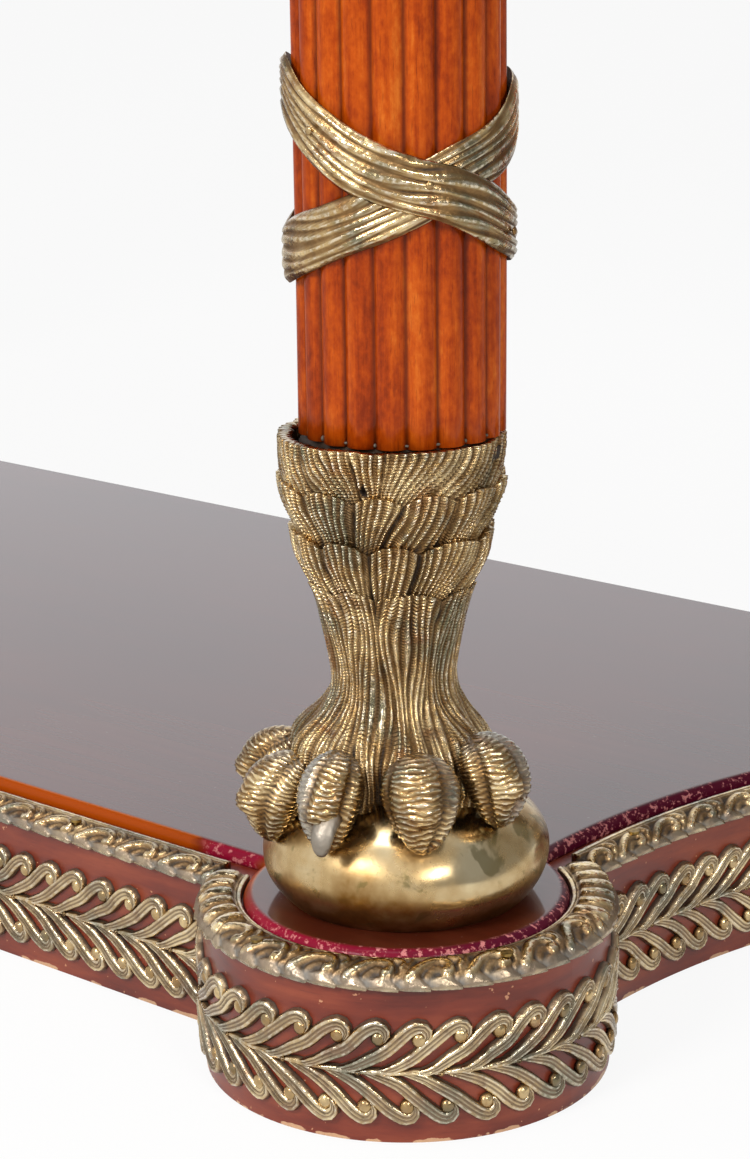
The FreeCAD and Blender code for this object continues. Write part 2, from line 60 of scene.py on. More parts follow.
def sideOf(corner):
    return -1 if corner.endswith("left") else 1


# Plan outline of the plinth, the apron and the slab, read off the frame
plan = {
    "sideArcRadius": 330 * mm,
    "sideStraight": 79 * mm,    # the hollow side starts to curve this far behind the front drum's centre
    "drumSteps": 72,
    "sideSteps": 36,
    "frontSteps": 120,
}
frontDrum = centreOf("plinth_drum_front_right")
rearDrum = centreOf("plinth_drum_rear_right")
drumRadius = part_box("plinth_drum_front_right")[1].x - frontDrum.x
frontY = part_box("plinth_front_rail")[0].y
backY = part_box("plinth_back_rail")[1].y
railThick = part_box("plinth_front_rail")[1].y - frontY
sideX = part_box("plinth_right_rail")[0].x + railThick
arcX = sideX + plan["sideArcRadius"]
arcY = frontDrum.y + plan["sideStraight"]
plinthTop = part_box("plinth_drum_front_right")[1].z
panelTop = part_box("plinth_raised_panel")[1].z
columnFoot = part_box("column_front_right")[0].z
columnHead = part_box("column_front_right")[1].z
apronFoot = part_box("apron_drums")[0].z
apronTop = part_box("apron_drums")[1].z
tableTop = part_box("marble_top")[1].z


def onCircle(x, y, radius, start, end, steps):
    turn = np.linspace(start, end, steps + 1)
    return np.column_stack((x + radius * np.cos(turn), y + radius * np.sin(turn)))


def rightHalf(out, drumOut):
    # drums and hollow side of the right-hand half, pushed outward by out and drumOut
    radius = drumRadius + drumOut
    arcRadius = plan["sideArcRadius"] - out
    startTurn = math.pi + math.asin((frontDrum.y - frontY + out) / radius)
    endTurn = 2 * math.pi + math.acos((sideX + out - frontDrum.x) / radius)
    drumFront = onCircle(frontDrum.x, frontDrum.y, radius, startTurn, endTurn, plan["drumSteps"])
    apart = math.hypot(arcX - rearDrum.x, arcY - rearDrum.y)
    toDrum = math.atan2(rearDrum.y - arcY, arcX - rearDrum.x)
    spread = math.acos((arcRadius ** 2 + apart ** 2 - radius ** 2) / (2 * arcRadius * apart))
    bend = onCircle(arcX, arcY, arcRadius, math.pi, math.pi - toDrum + spread, plan["sideSteps"])
    rearStart = math.atan2(bend[-1, 1] - rearDrum.y, bend[-1, 0] - rearDrum.x)
    rearEnd = math.asin(min(1.0, (backY - rearDrum.y) / radius))
    drumRear = onCircle(rearDrum.x, rearDrum.y, radius, rearStart, rearEnd, plan["drumSteps"])
    return {"drumFront": drumFront, "side": np.vstack((drumFront[-1], bend)), "drumRear": drumRear}


def mirrored(points):
    return np.column_stack((-points[:, 0], points[:, 1]))[::-1]


def outlineStretches(out, drumOut):
    # each stretch runs the way the leaves grow: forward on the left, along the front, back on the right
    right = rightHalf(out, drumOut)
    front = np.linspace(mirrored(right["drumFront"])[-1], right["drumFront"][0], plan["frontSteps"] + 1)
    return {
        "drum_rear_left": mirrored(right["drumRear"]),
        "left": mirrored(right["side"]),
        "drum_front_left": mirrored(right["drumFront"]),
        "front": front,
        "drum_front_right": right["drumFront"],
        "right": right["side"],
        "drum_rear_right": right["drumRear"],
    }


def closedOutline(out, drumOut, backIn):
    stretches = outlineStretches(out, drumOut)
    last = stretches["drum_rear_right"][-1]
    back = np.array([last, [rearDrum.x, backY], [-rearDrum.x, backY]])
    loop = np.vstack([stretch[:-1] for stretch in stretches.values()] + [back])
    return np.column_stack((loop[:, 0], np.minimum(loop[:, 1], backY - backIn)))


# Mesh parts: points, four-sided faces and marks, which are numbers kept on the points for the materials
def gridPart(points, loopRows=False, **marks):
    # points in rows that close on themselves; with loopRows the last row joins the first too
    rows, columns = points.shape[:2]
    number = np.arange(rows * columns).reshape(rows, columns)
    if loopRows:
        number = np.vstack((number, number[:1]))
    number = np.hstack((number, number[:, :1]))
    faces = np.stack((number[:-1, :-1], number[:-1, 1:], number[1:, 1:], number[1:, :-1]), axis=-1)
    filled = {name: np.broadcast_to(mark, (rows, columns)).ravel() for name, mark in marks.items()}
    return {"points": points.reshape(-1, 3), "faces": faces.reshape(-1, 4), "marks": filled}


def onceRound(count, start=0.0):
    # directions once round, side by side in one row
    return np.linspace(start, start + 2 * math.pi, count, endpoint=False)[None, :]


def roundAxis(radius, turn, height):
    return np.stack((radius * np.cos(turn), radius * np.sin(turn), height + 0 * radius), axis=-1)


def joined(parts):
    # marks that a part doesn't have are 0 on it
    points, faces, start = [], [], 0
    names = sorted({name for part in parts for name in part["marks"]})
    marks = {name: [] for name in names}
    for part in parts:
        count = len(part["points"])
        points.append(part["points"])
        faces.append(part["faces"] + start)
        for name in names:
            marks[name].append(part["marks"].get(name, np.zeros(count)))
        start += count
    marks = {name: np.concatenate(values) for name, values in marks.items()}
    return {"points": np.vstack(points), "faces": np.vstack(faces), "marks": marks}


def placed(part, turn=0.0, shift=(0, 0, 0)):
    cos, sin = math.cos(turn), math.sin(turn)
    spin = np.array([[cos, -sin, 0], [sin, cos, 0], [0, 0, 1]])
    return {**part, "points": part["points"] @ spin.T + np.array(shift)}


def looseEars(work):
    # faces left over from a cut, which hang on by one edge alone
    return [face for face in work.faces if sum(not edge.is_boundary for edge in face.edges) <= 1]


def tidied(mesh, capLoops):
    # closes poles and seams, caps open rims where asked, and points the faces outward
    work = bmesh.new()
    work.from_mesh(mesh)
    bmesh.ops.remove_doubles(work, verts=work.verts, dist=0.002 * mm)
    if capLoops:
        ears = looseEars(work)
        while ears:
            bmesh.ops.delete(work, geom=ears, context="FACES")
            ears = looseEars(work)
        rims = [edge for edge in work.edges if edge.is_boundary]
        caps = bmesh.ops.holes_fill(work, edges=rims, sides=0)["faces"]
        bmesh.ops.triangulate(work, faces=caps)
    bmesh.ops.recalc_face_normals(work, faces=work.faces)
    work.to_mesh(mesh)
    work.free()


def linkedObject(name, data):
    piece = bpy.data.objects.new(name, data)
    bpy.context.scene.collection.objects.link(piece)
    return piece


def meshObject(name, mesh, material, capLoops):
    tidied(mesh, capLoops)
    mesh.polygons.foreach_set("use_smooth", [True] * len(mesh.polygons))
    mesh.materials.clear()
    mesh.materials.append(material)
    return linkedObject(name, mesh)


def makeObject(name, part, material, capLoops=False):
    mesh = bpy.data.meshes.new(name)
    faces = part["faces"]
    mesh.vertices.add(len(part["points"]))
    mesh.vertices.foreach_set("co", part["points"].astype(np.float32).ravel())
    mesh.loops.add(faces.size)
    mesh.loops.foreach_set("vertex_index", faces.astype(np.int32).ravel())
    mesh.polygons.add(len(faces))
    mesh.polygons.foreach_set("loop_start", np.arange(0, faces.size, 4, dtype=np.int32))
    mesh.update(calc_edges=True)
    for markName, values in part["marks"].items():
        layer = mesh.attributes.new(markName, "FLOAT", "POINT")
        layer.data.foreach_set("value", values.astype(np.float32))
    return meshObject(name, mesh, material, capLoops)


def settle(piece, slot, *nodes):
    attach(piece, "root")
    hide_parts(*nodes)


def ridge(phase, sharpness):
    # rounded crests with a V groove at every whole number
    return 1 - np.abs(2 * (phase - np.floor(phase)) - 1) ** sharpness


def smoothStep(value, low, high):
    share = np.clip((value - low) / (high - low), 0, 1)
    return share * share * (3 - 2 * share)


def curveThrough(points, count):
    # smooth line through the points, evenly spaced along its length
    points = np.array(points, float)
    ends = np.vstack((2 * points[0] - points[1], points, 2 * points[-1] - points[-2]))
    fine = []
    for a, b, c, d in zip(ends, ends[1:], ends[2:], ends[3:]):
        t = np.linspace(0, 1, 24, endpoint=False)[:, None]
        fine.append(0.5 * (2 * b + (c - a) * t + (2 * a - 5 * b + 4 * c - d) * t ** 2
                           + (3 * b - a - 3 * c + d) * t ** 3))
    fine = np.vstack(fine + [points[-1:]])
    run = np.concatenate(([0], np.cumsum(np.linalg.norm(np.diff(fine, axis=0), axis=1))))
    spots = np.linspace(0, run[-1], count)
    return np.column_stack([np.interp(spots, run, fine[:, i]) for i in range(points.shape[1])])


# Materials
def linear(hexColour):
    channels = [int(hexColour[i:i + 2], 16) / 255 for i in (1, 3, 5)]
    return tuple(c / 12.92 if c <= 0.04045 else ((c + 0.055) / 1.055) ** 2.4 for c in channels) + (1.0,)


# Short names for the nodes used most: kind, settings, and the output in use where it isn't the first
nodeKinds = {
    "range": ("ShaderNodeMapRange", {"interpolation_type": "SMOOTHSTEP"}, None),
    "mix": ("ShaderNodeMix", {"data_type": "RGBA"}, None),
    "ramp": ("ShaderNodeValToRGB", {}, None),
    "vector": ("ShaderNodeCombineXYZ", {}, None),
    "objectPlace": ("ShaderNodeTexCoord", {}, "Object"),
    "geometryOf": ("GeometryNodeObjectInfo", {}, "Geometry"),
}
for operation in ("add", "subtract", "multiply", "divide", "maximum", "round", "sine", "absolute"):
    nodeKinds[operation] = ("ShaderNodeMath", {"operation": operation.upper()}, None)
for mark in ("hollow", "chase", "worn", "low", "groove", "wax", "crimson", "edge"):
    nodeKinds[mark + "Mark"] = ("ShaderNodeAttribute", {"attribute_name": mark}, "Fac")


def addNode(tree, kind, *values, settings=None, stops=(), **inputs):
    # values fill the inputs in order and the rest go by name; each is a socket to link from or a plain value
    kind, preset, output = nodeKinds.get(kind, (kind, {}, None))
    node = tree.nodes.new(kind)
    for name, value in {**preset, **(settings or {})}.items():
        setattr(node, name, value)
    filled = list(zip([socket for socket in node.inputs if socket.enabled], values))
    filled += [(node.inputs[name.replace("_", " ")], value) for name, value in inputs.items()]
    for socket, value in filled:
        if isinstance(value, bpy.types.NodeSocket):
            tree.links.new(value, socket)
        else:
            socket.default_value = value
    if stops:
        elements = node.color_ramp.elements
        while len(elements) < len(stops):
            elements.new(1.0)
        for element, (position, colour) in zip(elements, stops):
            element.position = position
            element.color = linear(colour)
    outputs = [socket for socket in node.outputs if socket.enabled and output in (None, socket.name)]
    return outputs[0] if outputs else None


def newMaterial(name):
    # the material, and addNode for its tree
    material = bpy.data.materials.new(name)
    material.use_nodes = True
    material.node_tree.nodes.clear()
    return material, partial(addNode, material.node_tree)


def noiseField(node, size, stretch=(1, 1, 1), detail=4.0, roughness=0.55, distortion=0.0):
    # noise whose blotches are about this size in metres, longer along an axis whose stretch is above 1
    mapped = node("ShaderNodeMapping", Vector=node("objectPlace"), Scale=[1 / (size * s) for s in stretch])
    return node("ShaderNodeTexNoise", Vector=mapped, Scale=1.0, Detail=detail, Roughness=roughness,
                Distortion=distortion)


def finished(material, node, bumps, **inputs):
    # bumps are pairs of a height from 0 to 1 and its depth in metres
    normal = {}
    for height, depth in bumps:
        normal = {"Normal": node("ShaderNodeBump", Height=height, Distance=depth, Strength=1.0, **normal)}
    node("ShaderNodeOutputMaterial", Surface=node("ShaderNodeBsdfPrincipled", **inputs, **normal))
    return material


giltLook = {
    "gold": "#ecd29d",
    "oldGold": "#b59664",
    "olive": "#7d785e",
    "size": "#84552f",      # red-brown gilder's size that shows where the gold is thin
    # near white: a painted highlight on the crests, where the gilding is also rubbed
    "rubbed": "#fdf3dc",
    # brown bloom in the hollows, which also paints their shade
    "bloomAndShade": "#6e4a28",
    # dark dirt, which also paints the shade deep in the hollows
    "dirtAndShade": "#2a1c10",
    "silver": "#b2aea4",
    "chasing": 1.1 * mm,    # punch lines are 0.5 mm apart on such work; drawn coarser so that they show
}


def castGiltBronze():
    # cast, chased and fire-gilt bronze: rubbed crests with painted highlights, olive bloom, and brown bloom
    # and dark dirt in the hollows, which also paint their shade
    material, node = newMaterial("castGiltBronze")
    hollow = node("hollowMark")
    patches = noiseField(node, 22 * mm, detail=3.0)
    speckle = noiseField(node, 2.2 * mm, detail=5.0, roughness=0.65)
    lumps = noiseField(node, 5 * mm, detail=2.0)
    golds = ((0.36, giltLook["olive"]), (0.5, giltLook["oldGold"]), (0.63, giltLook["gold"]))
    colour = node("ramp", patches, stops=golds)
    thin = node("range", noiseField(node, 14 * mm, detail=5.0, distortion=0.6), 0.56, 0.7, 0.0, 0.75)
    colour = node("mix", thin, colour, linear(giltLook["size"]))
    # painted highlight: crests away from the hollows are speckled near white
    rubbed = node("multiply", node("range", hollow, 0.35, 0.0), node("range", speckle, 0.4, 0.65))
    colour = node("mix", node("multiply", rubbed, 0.6), colour, linear(giltLook["rubbed"]))
    # the hollow mark paints shade into creases, recesses and the undersides of the castings; the speckles add
    # real dust
    dustAndShade = node("add", hollow, node("multiply", speckle, 0.5))
    colour = node("mix", node("range", dustAndShade, 0.3, 0.75, 0.0, 0.7), colour, linear(giltLook["bloomAndShade"]))
    dirtAndShade = node("range", dustAndShade, 0.68, 1.3)
    colour = node("mix", dirtAndShade, colour, linear(giltLook["dirtAndShade"]))
    colour = node("mix", node("wornMark"), colour, linear(giltLook["silver"]))
    turns = node("multiply", node("chaseMark"), 2 * math.pi / giltLook["chasing"])
    chasing = node("range", node("sine", turns), -1.0, 1.0)
    bumps = ((chasing, 0.42 * mm), (lumps, 0.7 * mm), (speckle, 0.16 * mm))
    return finished(material, node, bumps, Base_Color=colour,
                    Metallic=node("range", dirtAndShade, 0.2, 1.0, 1.0, 0.35),
                    Roughness=node("range", dustAndShade, 0.25, 1.1, 0.13, 0.58))


def polishedBrass():
    # turned brass ball, polished by hands: mirror bright above, brown tarnish in blotches, and darker brown
    # towards the foot
    material, node = newMaterial("polishedBrass")
    cloud = noiseField(node, 26 * mm, detail=5.0, roughness=0.5)
    fine = noiseField(node, 3 * mm, detail=5.0, roughness=0.7)
    # the low mark darkens the ball towards its foot
    stain = node("add", cloud, node("multiply", node("lowMark"), 0.34))
    brasses = ((0.42, "#dccaa2"), (0.62, "#bfa374"), (0.78, "#85602f"), (0.92, "#3a2412"))
    colour = node("ramp", stain, stops=brasses)
    smoked = node("range", noiseField(node, 15 * mm, detail=4.0, distortion=0.4), 0.56, 0.62, 0.0, 0.6)
    colour = node("mix", smoked, colour, linear("#6e6236"))
    scuffs = noiseField(node, 1.2 * mm, stretch=(9, 9, 1), detail=2.0)
    rough = node("range", node("add", stain, node("multiply", fine, 0.3)), 0.55, 1.0, 0.13, 0.42)
    bumps = ((cloud, 0.12 * mm), (scuffs, 0.01 * mm))
    return finished(material, node, bumps, Base_Color=colour, Metallic=1.0, Roughness=rough)


def satinMahogany():
    # veneer rubbed to a satin: even red-brown, a soft level figure, pale flecks and chips along the foot
    material, node = newMaterial("satinMahogany")
    figure = noiseField(node, 9 * mm, stretch=(6, 6, 1), detail=6.0, roughness=0.6)
    cloud = noiseField(node, 60 * mm, detail=3.0)
    pores = noiseField(node, 0.9 * mm, stretch=(7, 7, 1), detail=3.0, roughness=0.7)
    tone = node("add", node("multiply", figure, 0.6), node("multiply", cloud, 0.4))
    colour = node("ramp", tone, stops=((0.36, "#541a0f"), (0.5, "#742c1a"), (0.64, "#8c4027")))
    colour = node("mix", node("range", pores, 0.6, 0.72, 0.0, 0.35), colour, linear("#4f2018"))
    fleck = node("range", noiseField(node, 3.5 * mm, detail=2.0, roughness=0.8), 0.7, 0.73, 0.0, 0.8)
    colour = node("mix", fleck, colour, linear("#c9906a"))
    height = node("ShaderNodeSeparateXYZ", node("objectPlace")).node.outputs["Z"]
    atFoot = node("range", height, 5.5 * mm, 0.5 * mm)
    chipped = node("range", node("add", atFoot, noiseField(node, 15 * mm, detail=6.0)), 1.48, 1.51)
    colour = node("mix", chipped, colour, linear("#c59a76"))
    return finished(material, node, ((pores, 0.05 * mm), (figure, 0.1 * mm)), Base_Color=colour,
                    Roughness=node("range", figure, 0.3, 0.7, 0.36, 0.5), Specular_IOR_Level=0.3,
                    Coat_Weight=0.35, Coat_Roughness=0.22)


def frenchPolishedMahogany():
    # orange mahogany under french polish: long grain down the reeds, painted shade in the grooves, grey wax
    # at their ends
    material, node = newMaterial("frenchPolishedMahogany")
    grain = noiseField(node, 3.2 * mm, stretch=(1, 1, 26), detail=6.0, roughness=0.62)
    cloud = noiseField(node, 16 * mm, stretch=(1, 1, 3), detail=4.0)
    mottle = noiseField(node, 2.4 * mm, stretch=(1, 1, 1.6), detail=4.0, roughness=0.65)
    pores = noiseField(node, 0.7 * mm, stretch=(1, 1, 14), detail=3.0, roughness=0.7)
    figure = node("add", node("multiply", grain, 0.35), node("multiply", cloud, 0.4))
    figure = node("add", figure, node("multiply", mottle, 0.25))
    oranges = ((0.38, "#742403"), (0.46, "#963604"), (0.54, "#b04908"), (0.64, "#c6671d"))
    colour = node("ramp", figure, stops=oranges)
    colour = node("mix", node("range", pores, 0.58, 0.7, 0.0, 0.45), colour, linear("#5a1a04"))
    # painted shade: the reeds' grooves are darkened
    colour = node("mix", node("range", node("grooveMark"), 0.4, 1.0, 0.0, 0.75), colour, linear("#4c1804"))
    colour = node("mix", node("waxMark"), colour, linear("#5f574e"))
    return finished(material, node, ((grain, 0.06 * mm),), Base_Color=colour, Roughness=0.34,
                    Specular_IOR_Level=0.06, Coat_Weight=0.16, Coat_Roughness=0.06)


def panelMahogany():
    # dark flat mahogany, deeply polished to mirror the room; its rounded edge is stained orange and crimson,
    # with a painted highlight along the top of the rounding
    material, node = newMaterial("panelMahogany")
    crimson, atEdge = node("crimsonMark"), node("edgeMark")
    grain = noiseField(node, 7 * mm, stretch=(24, 1, 1), detail=6.0, roughness=0.6)
    cloud = noiseField(node, 90 * mm, stretch=(2, 1, 1), detail=4.0)
    figure = node("add", node("multiply", grain, 0.5), node("multiply", cloud, 0.5))
    colour = node("ramp", figure, stops=((0.3, "#40170c"), (0.5, "#4c1d10"), (0.7, "#582414")))
    streak = noiseField(node, 1.6 * mm, stretch=(24, 1.5, 1), detail=6.0, roughness=0.7)
    stains = ((0.2, "#a04204"), (0.4, "#7c2c06"), (0.7, "#8c0f2c"), (1.0, "#4e0c22"))
    edge = node("ramp", node("add", crimson, node("multiply", streak, 0.25)), stops=stains)
    chips = node("range", noiseField(node, 2.6 * mm, detail=5.0, roughness=0.7), 0.54, 0.6, 0.0, 0.75)
    edge = node("mix", node("multiply", chips, node("range", crimson, 0.3, 0.7)), edge, linear("#d98a86"))
    # painted highlight: where the edge is orange, the upper part of its rounding is painted a brighter orange
    lip = node("multiply", node("range", atEdge, 0.98, 0.7), node("range", crimson, 0.4, 0.1))
    edge = node("mix", node("multiply", lip, 0.7), edge, linear("#d8701c"))
    colour = node("mix", atEdge, colour, edge)
    dust = node("range", noiseField(node, 1.6 * mm, detail=2.0, roughness=0.8), 0.73, 0.76, 0.0, 0.5)
    colour = node("mix", dust, colour, linear("#a89c95"))
    worn = noiseField(node, 14 * mm, detail=6.0, roughness=0.65)
    polish = node("range", atEdge, 0.0, 1.0, 1.0, 0.06)
    return finished(material, node, ((worn, 0.012 * mm), (cloud, 0.06 * mm)), Base_Color=colour,
                    Roughness=0.4, Specular_IOR_Level=0.06, Coat_Weight=polish, Coat_Roughness=0.08,
                    Coat_IOR=1.6)


def planedOak():
    # carcass timber, planed and left bare: straw brown with long pores
    material, node = newMaterial("planedOak")
    grain = noiseField(node, 2.5 * mm, stretch=(1, 18, 1), detail=6.0, roughness=0.65)
    colour = node("ramp", grain, stops=((0.35, "#6d5334"), (0.5, "#947350"), (0.66, "#b0906a")))
    return finished(material, node, ((grain, 0.15 * mm),), Base_Color=colour, Roughness=0.7)


def turnedIron():
    # plain turned iron, dark, with a little rust
    material, node = newMaterial("turnedIron")
    rust = noiseField(node, 4 * mm, detail=6.0, roughness=0.7)
    colour = node("ramp", rust, stops=((0.4, "#5b5856"), (0.58, "#4a3b33"), (0.7, "#6e4228")))
    bare = node("range", rust, 0.5, 0.65, 1.0, 0.2)
    return finished(material, node, ((rust, 0.1 * mm),), Base_Color=colour, Metallic=bare, Roughness=0.55)


def dullBrass():
    # round-headed brass pins, never polished
    material, node = newMaterial("dullBrass")
    stain = noiseField(node, 1.5 * mm, detail=4.0)
    colour = node("ramp", stain, stops=((0.35, "#6a5630"), (0.65, "#a88a4e")))
    return finished(material, node, ((stain, 0.05 * mm),), Base_Color=colour, Metallic=1.0, Roughness=0.42)


def polishedMarble():
    # white statuary marble, polished: soft grey clouds and thin drifting veins
    material, node = newMaterial("polishedMarble")
    cloud = noiseField(node, 160 * mm, stretch=(1.6, 1, 1), detail=6.0, distortion=1.2)
    drift = noiseField(node, 210 * mm, stretch=(1, 1.8, 1), detail=8.0, roughness=0.62, distortion=2.2)
    vein = node("absolute", node("subtract", drift, 0.5))
    colour = node("ramp", cloud, stops=((0.35, "#a3a09b"), (0.5, "#bebbb5"), (0.65, "#cbc8c2")))
    colour = node("mix", node("range", vein, 0.02, 0.0, 0.0, 0.65), colour, linear("#666463"))
    return finished(material, node, ((cloud, 0.02 * mm),), Base_Color=colour, Roughness=0.22, Coat_Weight=0.5,
                    Coat_Roughness=0.08)


giltBronze = castGiltBronze()
brassBall = polishedBrass()
columnWood = frenchPolishedMahogany()
panelWood = panelMahogany()
marble = polishedMarble()
slotLooks = {
    "satin_mahogany": satinMahogany(),
    "panel_mahogany": panelWood,
    "polished_mahogany": columnWood,
    "carcass_oak": planedOak(),
    "gilt_bronze": giltBronze,
    "brass_pins": dullBrass(),
    "iron_rod": turnedIron(),
    "marble": marble,
}
slotOf = {subpart["node"]: subpart["material_slot"] for subpart in frame["record"]["subparts"]}
for name, node in frame["nodes"].items():
    node.data.materials.clear()
    node.data.materials.append(slotLooks[slotOf[name]])
print("materials made")


# Reeded columns
column = {
    "reeds": 20,
    "crown": 36.6 * mm,
    "groove": 34.3 * mm,
    "turnDegrees": -3.1,
    "samples": 14,          # points across one reed
    "rows": 40,
    "wander": 0.25 * mm,    # how far the reeds are out of true
    "seed": 40,             # of the first column
    # old wax at the foot of each groove: size of the largest bead, and its place off the groove and the foot
    "waxSize": np.array((1.0, 1.3, 1.6)) * mm,
    "waxOut": 0.4 * mm,
    "waxLift": 1.3 * mm,
}


def reededColumn():
    across = np.arange(column["reeds"] * column["samples"]) / column["samples"]
    turn = across * 2 * math.pi / column["reeds"] + math.radians(column["turnDegrees"])
    height = np.linspace(columnFoot, columnHead, column["rows"])[:, None]
    crest = ridge(across + 0.5, 2.1)
    bend = np.sin(3 * turn + 11 * height) * np.sin(7 * height / (columnHead - columnFoot))
    radius = column["groove"] + (column["crown"] - column["groove"] + column["wander"] * bend) * crest
    return gridPart(roundAxis(radius, turn, height), groove=(1 - crest) ** 1.3)


def columnWax(rng):
    parts = []
    v = np.linspace(0, math.pi, 7)[:, None]
    u = onceRound(8)
    radius = column["groove"] + column["waxOut"]
    for i in range(column["reeds"]):
        turn = (i + 0.5) * 2 * math.pi / column["reeds"] + math.radians(column["turnDegrees"])
        deep, wide, tall = column["waxSize"] * rng.uniform(0.25, 0.7, 3)
        drop = (deep * np.sin(v) * np.cos(u), wide * np.sin(v) * np.sin(u), tall * np.cos(v) + 0 * u)
        place = (radius * math.cos(turn), radius * math.sin(turn), columnFoot + column["waxLift"])
        parts.append(placed(gridPart(np.stack(drop, axis=-1), wax=1.0), turn, place))
    return parts


for corner in corners:
    middle = centreOf("column_" + corner)
    rng = np.random.default_rng(column["seed"] + corners.index(corner))
    shaft = placed(joined([reededColumn()] + columnWax(rng)), shift=(middle.x, middle.y, 0))
    piece = makeObject("reeded_" + corner, shaft, columnWood, capLoops=True)
    settle(piece, "polished_mahogany", "column_" + corner)
print("columns")


# Crossed ribbons, each a flat band bent round the column in a tilted plane
ribbon = {
    "width": 20 * mm,
    "thick": 2.3 * mm,
    "standOff": 0.5 * mm,
    "bow": 1.3 * mm,          # the under band bows this far off the wood between the crossings
    "rise": 88 * mm,          # crossing above the foot of the column, and below its head
    "turnDegrees": -40.0,     # the way the crossing faces on the right-hand legs
    # middle line of each band: degrees round from the crossing, and mm above it
    "over": ((-95, 33), (-71, 23), (-50, 15), (-35, 9.4), (-19, 5.2), (-2, 1.4), (15, -1.8), (33, -7.2),
             (54, -14.2), (77, -19.4), (100, -21.5), (140, -11), (180, 4), (220, 20), (245, 30)),
    "under": ((-98, -26.5), (-60, -17.7), (-39, -12.2), (-16, -6), (1, -1), (23, 5.8), (43, 10.5), (60, 15.3),
              (78, 23), (100, 27), (140, 17), (180, -1), (220, -17), (243, -24)),
    "softening": 33,          # degrees over which a middle line is rounded off
    "steps": 200,
    "rows": 37,
    "strands": 2.9,           # flutes across the band
    "fluteDepth": 1.1 * mm,
    "leastThick": 0.25 * mm,
    "seed": 70,
    "nails": ((-57, 19), (3, 2), (58, -17)),    # degrees round from the crossing, and mm above it
    "nailRadius": 1.6 * mm,
    "nailDome": 0.9 * mm,
    "nailSink": 0.3 * mm,
}


def ringLine(points, turn):
    # smooth closed line through heights given round the column
    degrees, heights = (np.array(values, float) for values in zip(*points))
    degrees = np.concatenate((degrees - 360, degrees, degrees + 360))
    everyDegree = np.arange(-360, 720)
    rough = np.interp(everyDegree, degrees, np.tile(heights, 3))
    kernel = np.hanning(ribbon["softening"])
    soft = np.convolve(rough, kernel / kernel.sum(), mode="same")
    return np.interp(np.degrees(turn), everyDegree, soft) * mm


def ribbonBand(inner, line, seed):
    turn = onceRound(ribbon["steps"])
    across = np.linspace(-1, 1, ribbon["rows"])[:, None]
    a, b, c = np.random.default_rng(seed).uniform(0, 2 * math.pi, 3)
    drift = 0.2 * np.sin(2 * turn + a) + 0.1 * np.sin(3 * turn + b)
    lanes = ribbon["strands"] * (across * (1 + 0.18 * np.sin(2 * turn + c)) + drift * (1 - across ** 2))
    lanes = lanes + 0.16 * np.sin(5.3 * across + 4 * turn + c)
    flute = ridge(lanes, 2.3)
    fine = ridge(lanes * 2.1 + 0.6 * np.sin(3 * turn + b), 1.6)
    lift = ribbon["fluteDepth"] * (0.85 * flute + 0.3 * fine)
    rounded = ribbon["thick"] * (1 - np.abs(across) ** 9) ** 0.5
    thick = np.maximum(rounded - ribbon["fluteDepth"] + lift * (1 - across ** 8), ribbon["leastThick"])
    middle = ringLine(line, turn)
    slant = np.gradient(middle[0])[None, :] / (2 * math.pi / ribbon["steps"] * column["crown"])
    uneven = 1 + 0.03 * np.sin(5 * turn + c) - 0.05 * np.cos(turn)
    height = middle + ribbon["width"] / 2 * uneven * np.sqrt(1 + slant ** 2) * across
    points = np.concatenate((roundAxis(inner, turn, height[:1]), roundAxis(inner + thick, turn, height),
                             roundAxis(inner, turn, height[-1:])))
    # painted shade in the creases between flutes and along the band's edges
    hollow = np.clip(1.1 - 0.75 * flute - 0.45 * fine, 0, 1)
    rim = np.full_like(hollow[:1], 0.8)
    return gridPart(points, loopRows=True, hollow=np.concatenate((rim, hollow, rim)))


def nailHead(radius, turn, height):
    v = np.radians((0, 30, 60, 90, 180))[:, None]    # the last ring is the point of the shank
    u = onceRound(10)
    wide = ribbon["nailRadius"] * np.sin(v)
    dome = np.stack((ribbon["nailDome"] * np.cos(v) + 0 * u, wide * np.cos(u), wide * np.sin(u)), axis=-1)
    place = (radius * math.cos(turn), radius * math.sin(turn), height)
    return placed(gridPart(dome, hollow=0.35), turn, place)


def crossedRibbons(side):
    # the bands cross in front and behind; between the crossings the upper one sinks towards the wood
    inner = column["crown"] + ribbon["standOff"]
    turn = onceRound(ribbon["steps"])
    under = ribbonBand(inner + ribbon["bow"] * np.sin(turn) ** 2, ribbon["under"], ribbon["seed"])
    sunk = ribbon["thick"] * (0.35 + 0.65 * np.cos(turn) ** 2)
    over = ribbonBand(inner + sunk, ribbon["over"], ribbon["seed"] + 1)
    nailFoot = inner + 2 * ribbon["thick"] - ribbon["nailSink"]
    heads = [nailHead(nailFoot, math.radians(degrees), lift * mm) for degrees, lift in ribbon["nails"]]
    both = placed(joined([under, over] + heads), math.radians(ribbon["turnDegrees"]))
    low = placed(both, shift=(0, 0, columnFoot + ribbon["rise"]))
    pair = joined([low, placed(both, shift=(0, 0, columnHead - ribbon["rise"]))])
    return {**pair, "points": pair["points"] * np.array((side, 1, 1))}


for corner in corners:
    middle = centreOf("column_" + corner)
    bands = placed(crossedRibbons(sideOf(corner)), shift=(middle.x, middle.y, 0))
    piece = makeObject("ribbon_" + corner, bands, giltBronze)
    settle(piece, "gilt_bronze", "ribbons_" + corner)
print("ribbons")


# Brass balls under the paws
ball = {
    "halfHeight": 30 * mm,
    "drop": 17 * mm,           # widest level above the flat foot
    "radius": 52.3 * mm,
    "darkBelow": 12 * mm,      # the ball darkens towards its foot from this far above the widest level
    "rows": 56,
    "columns": 144,
    "turnEach": 0.7,           # each ball is turned this far from the last, so that the dents differ
    "rim": 0.97,               # the foot's open rim as a share of its radius
}


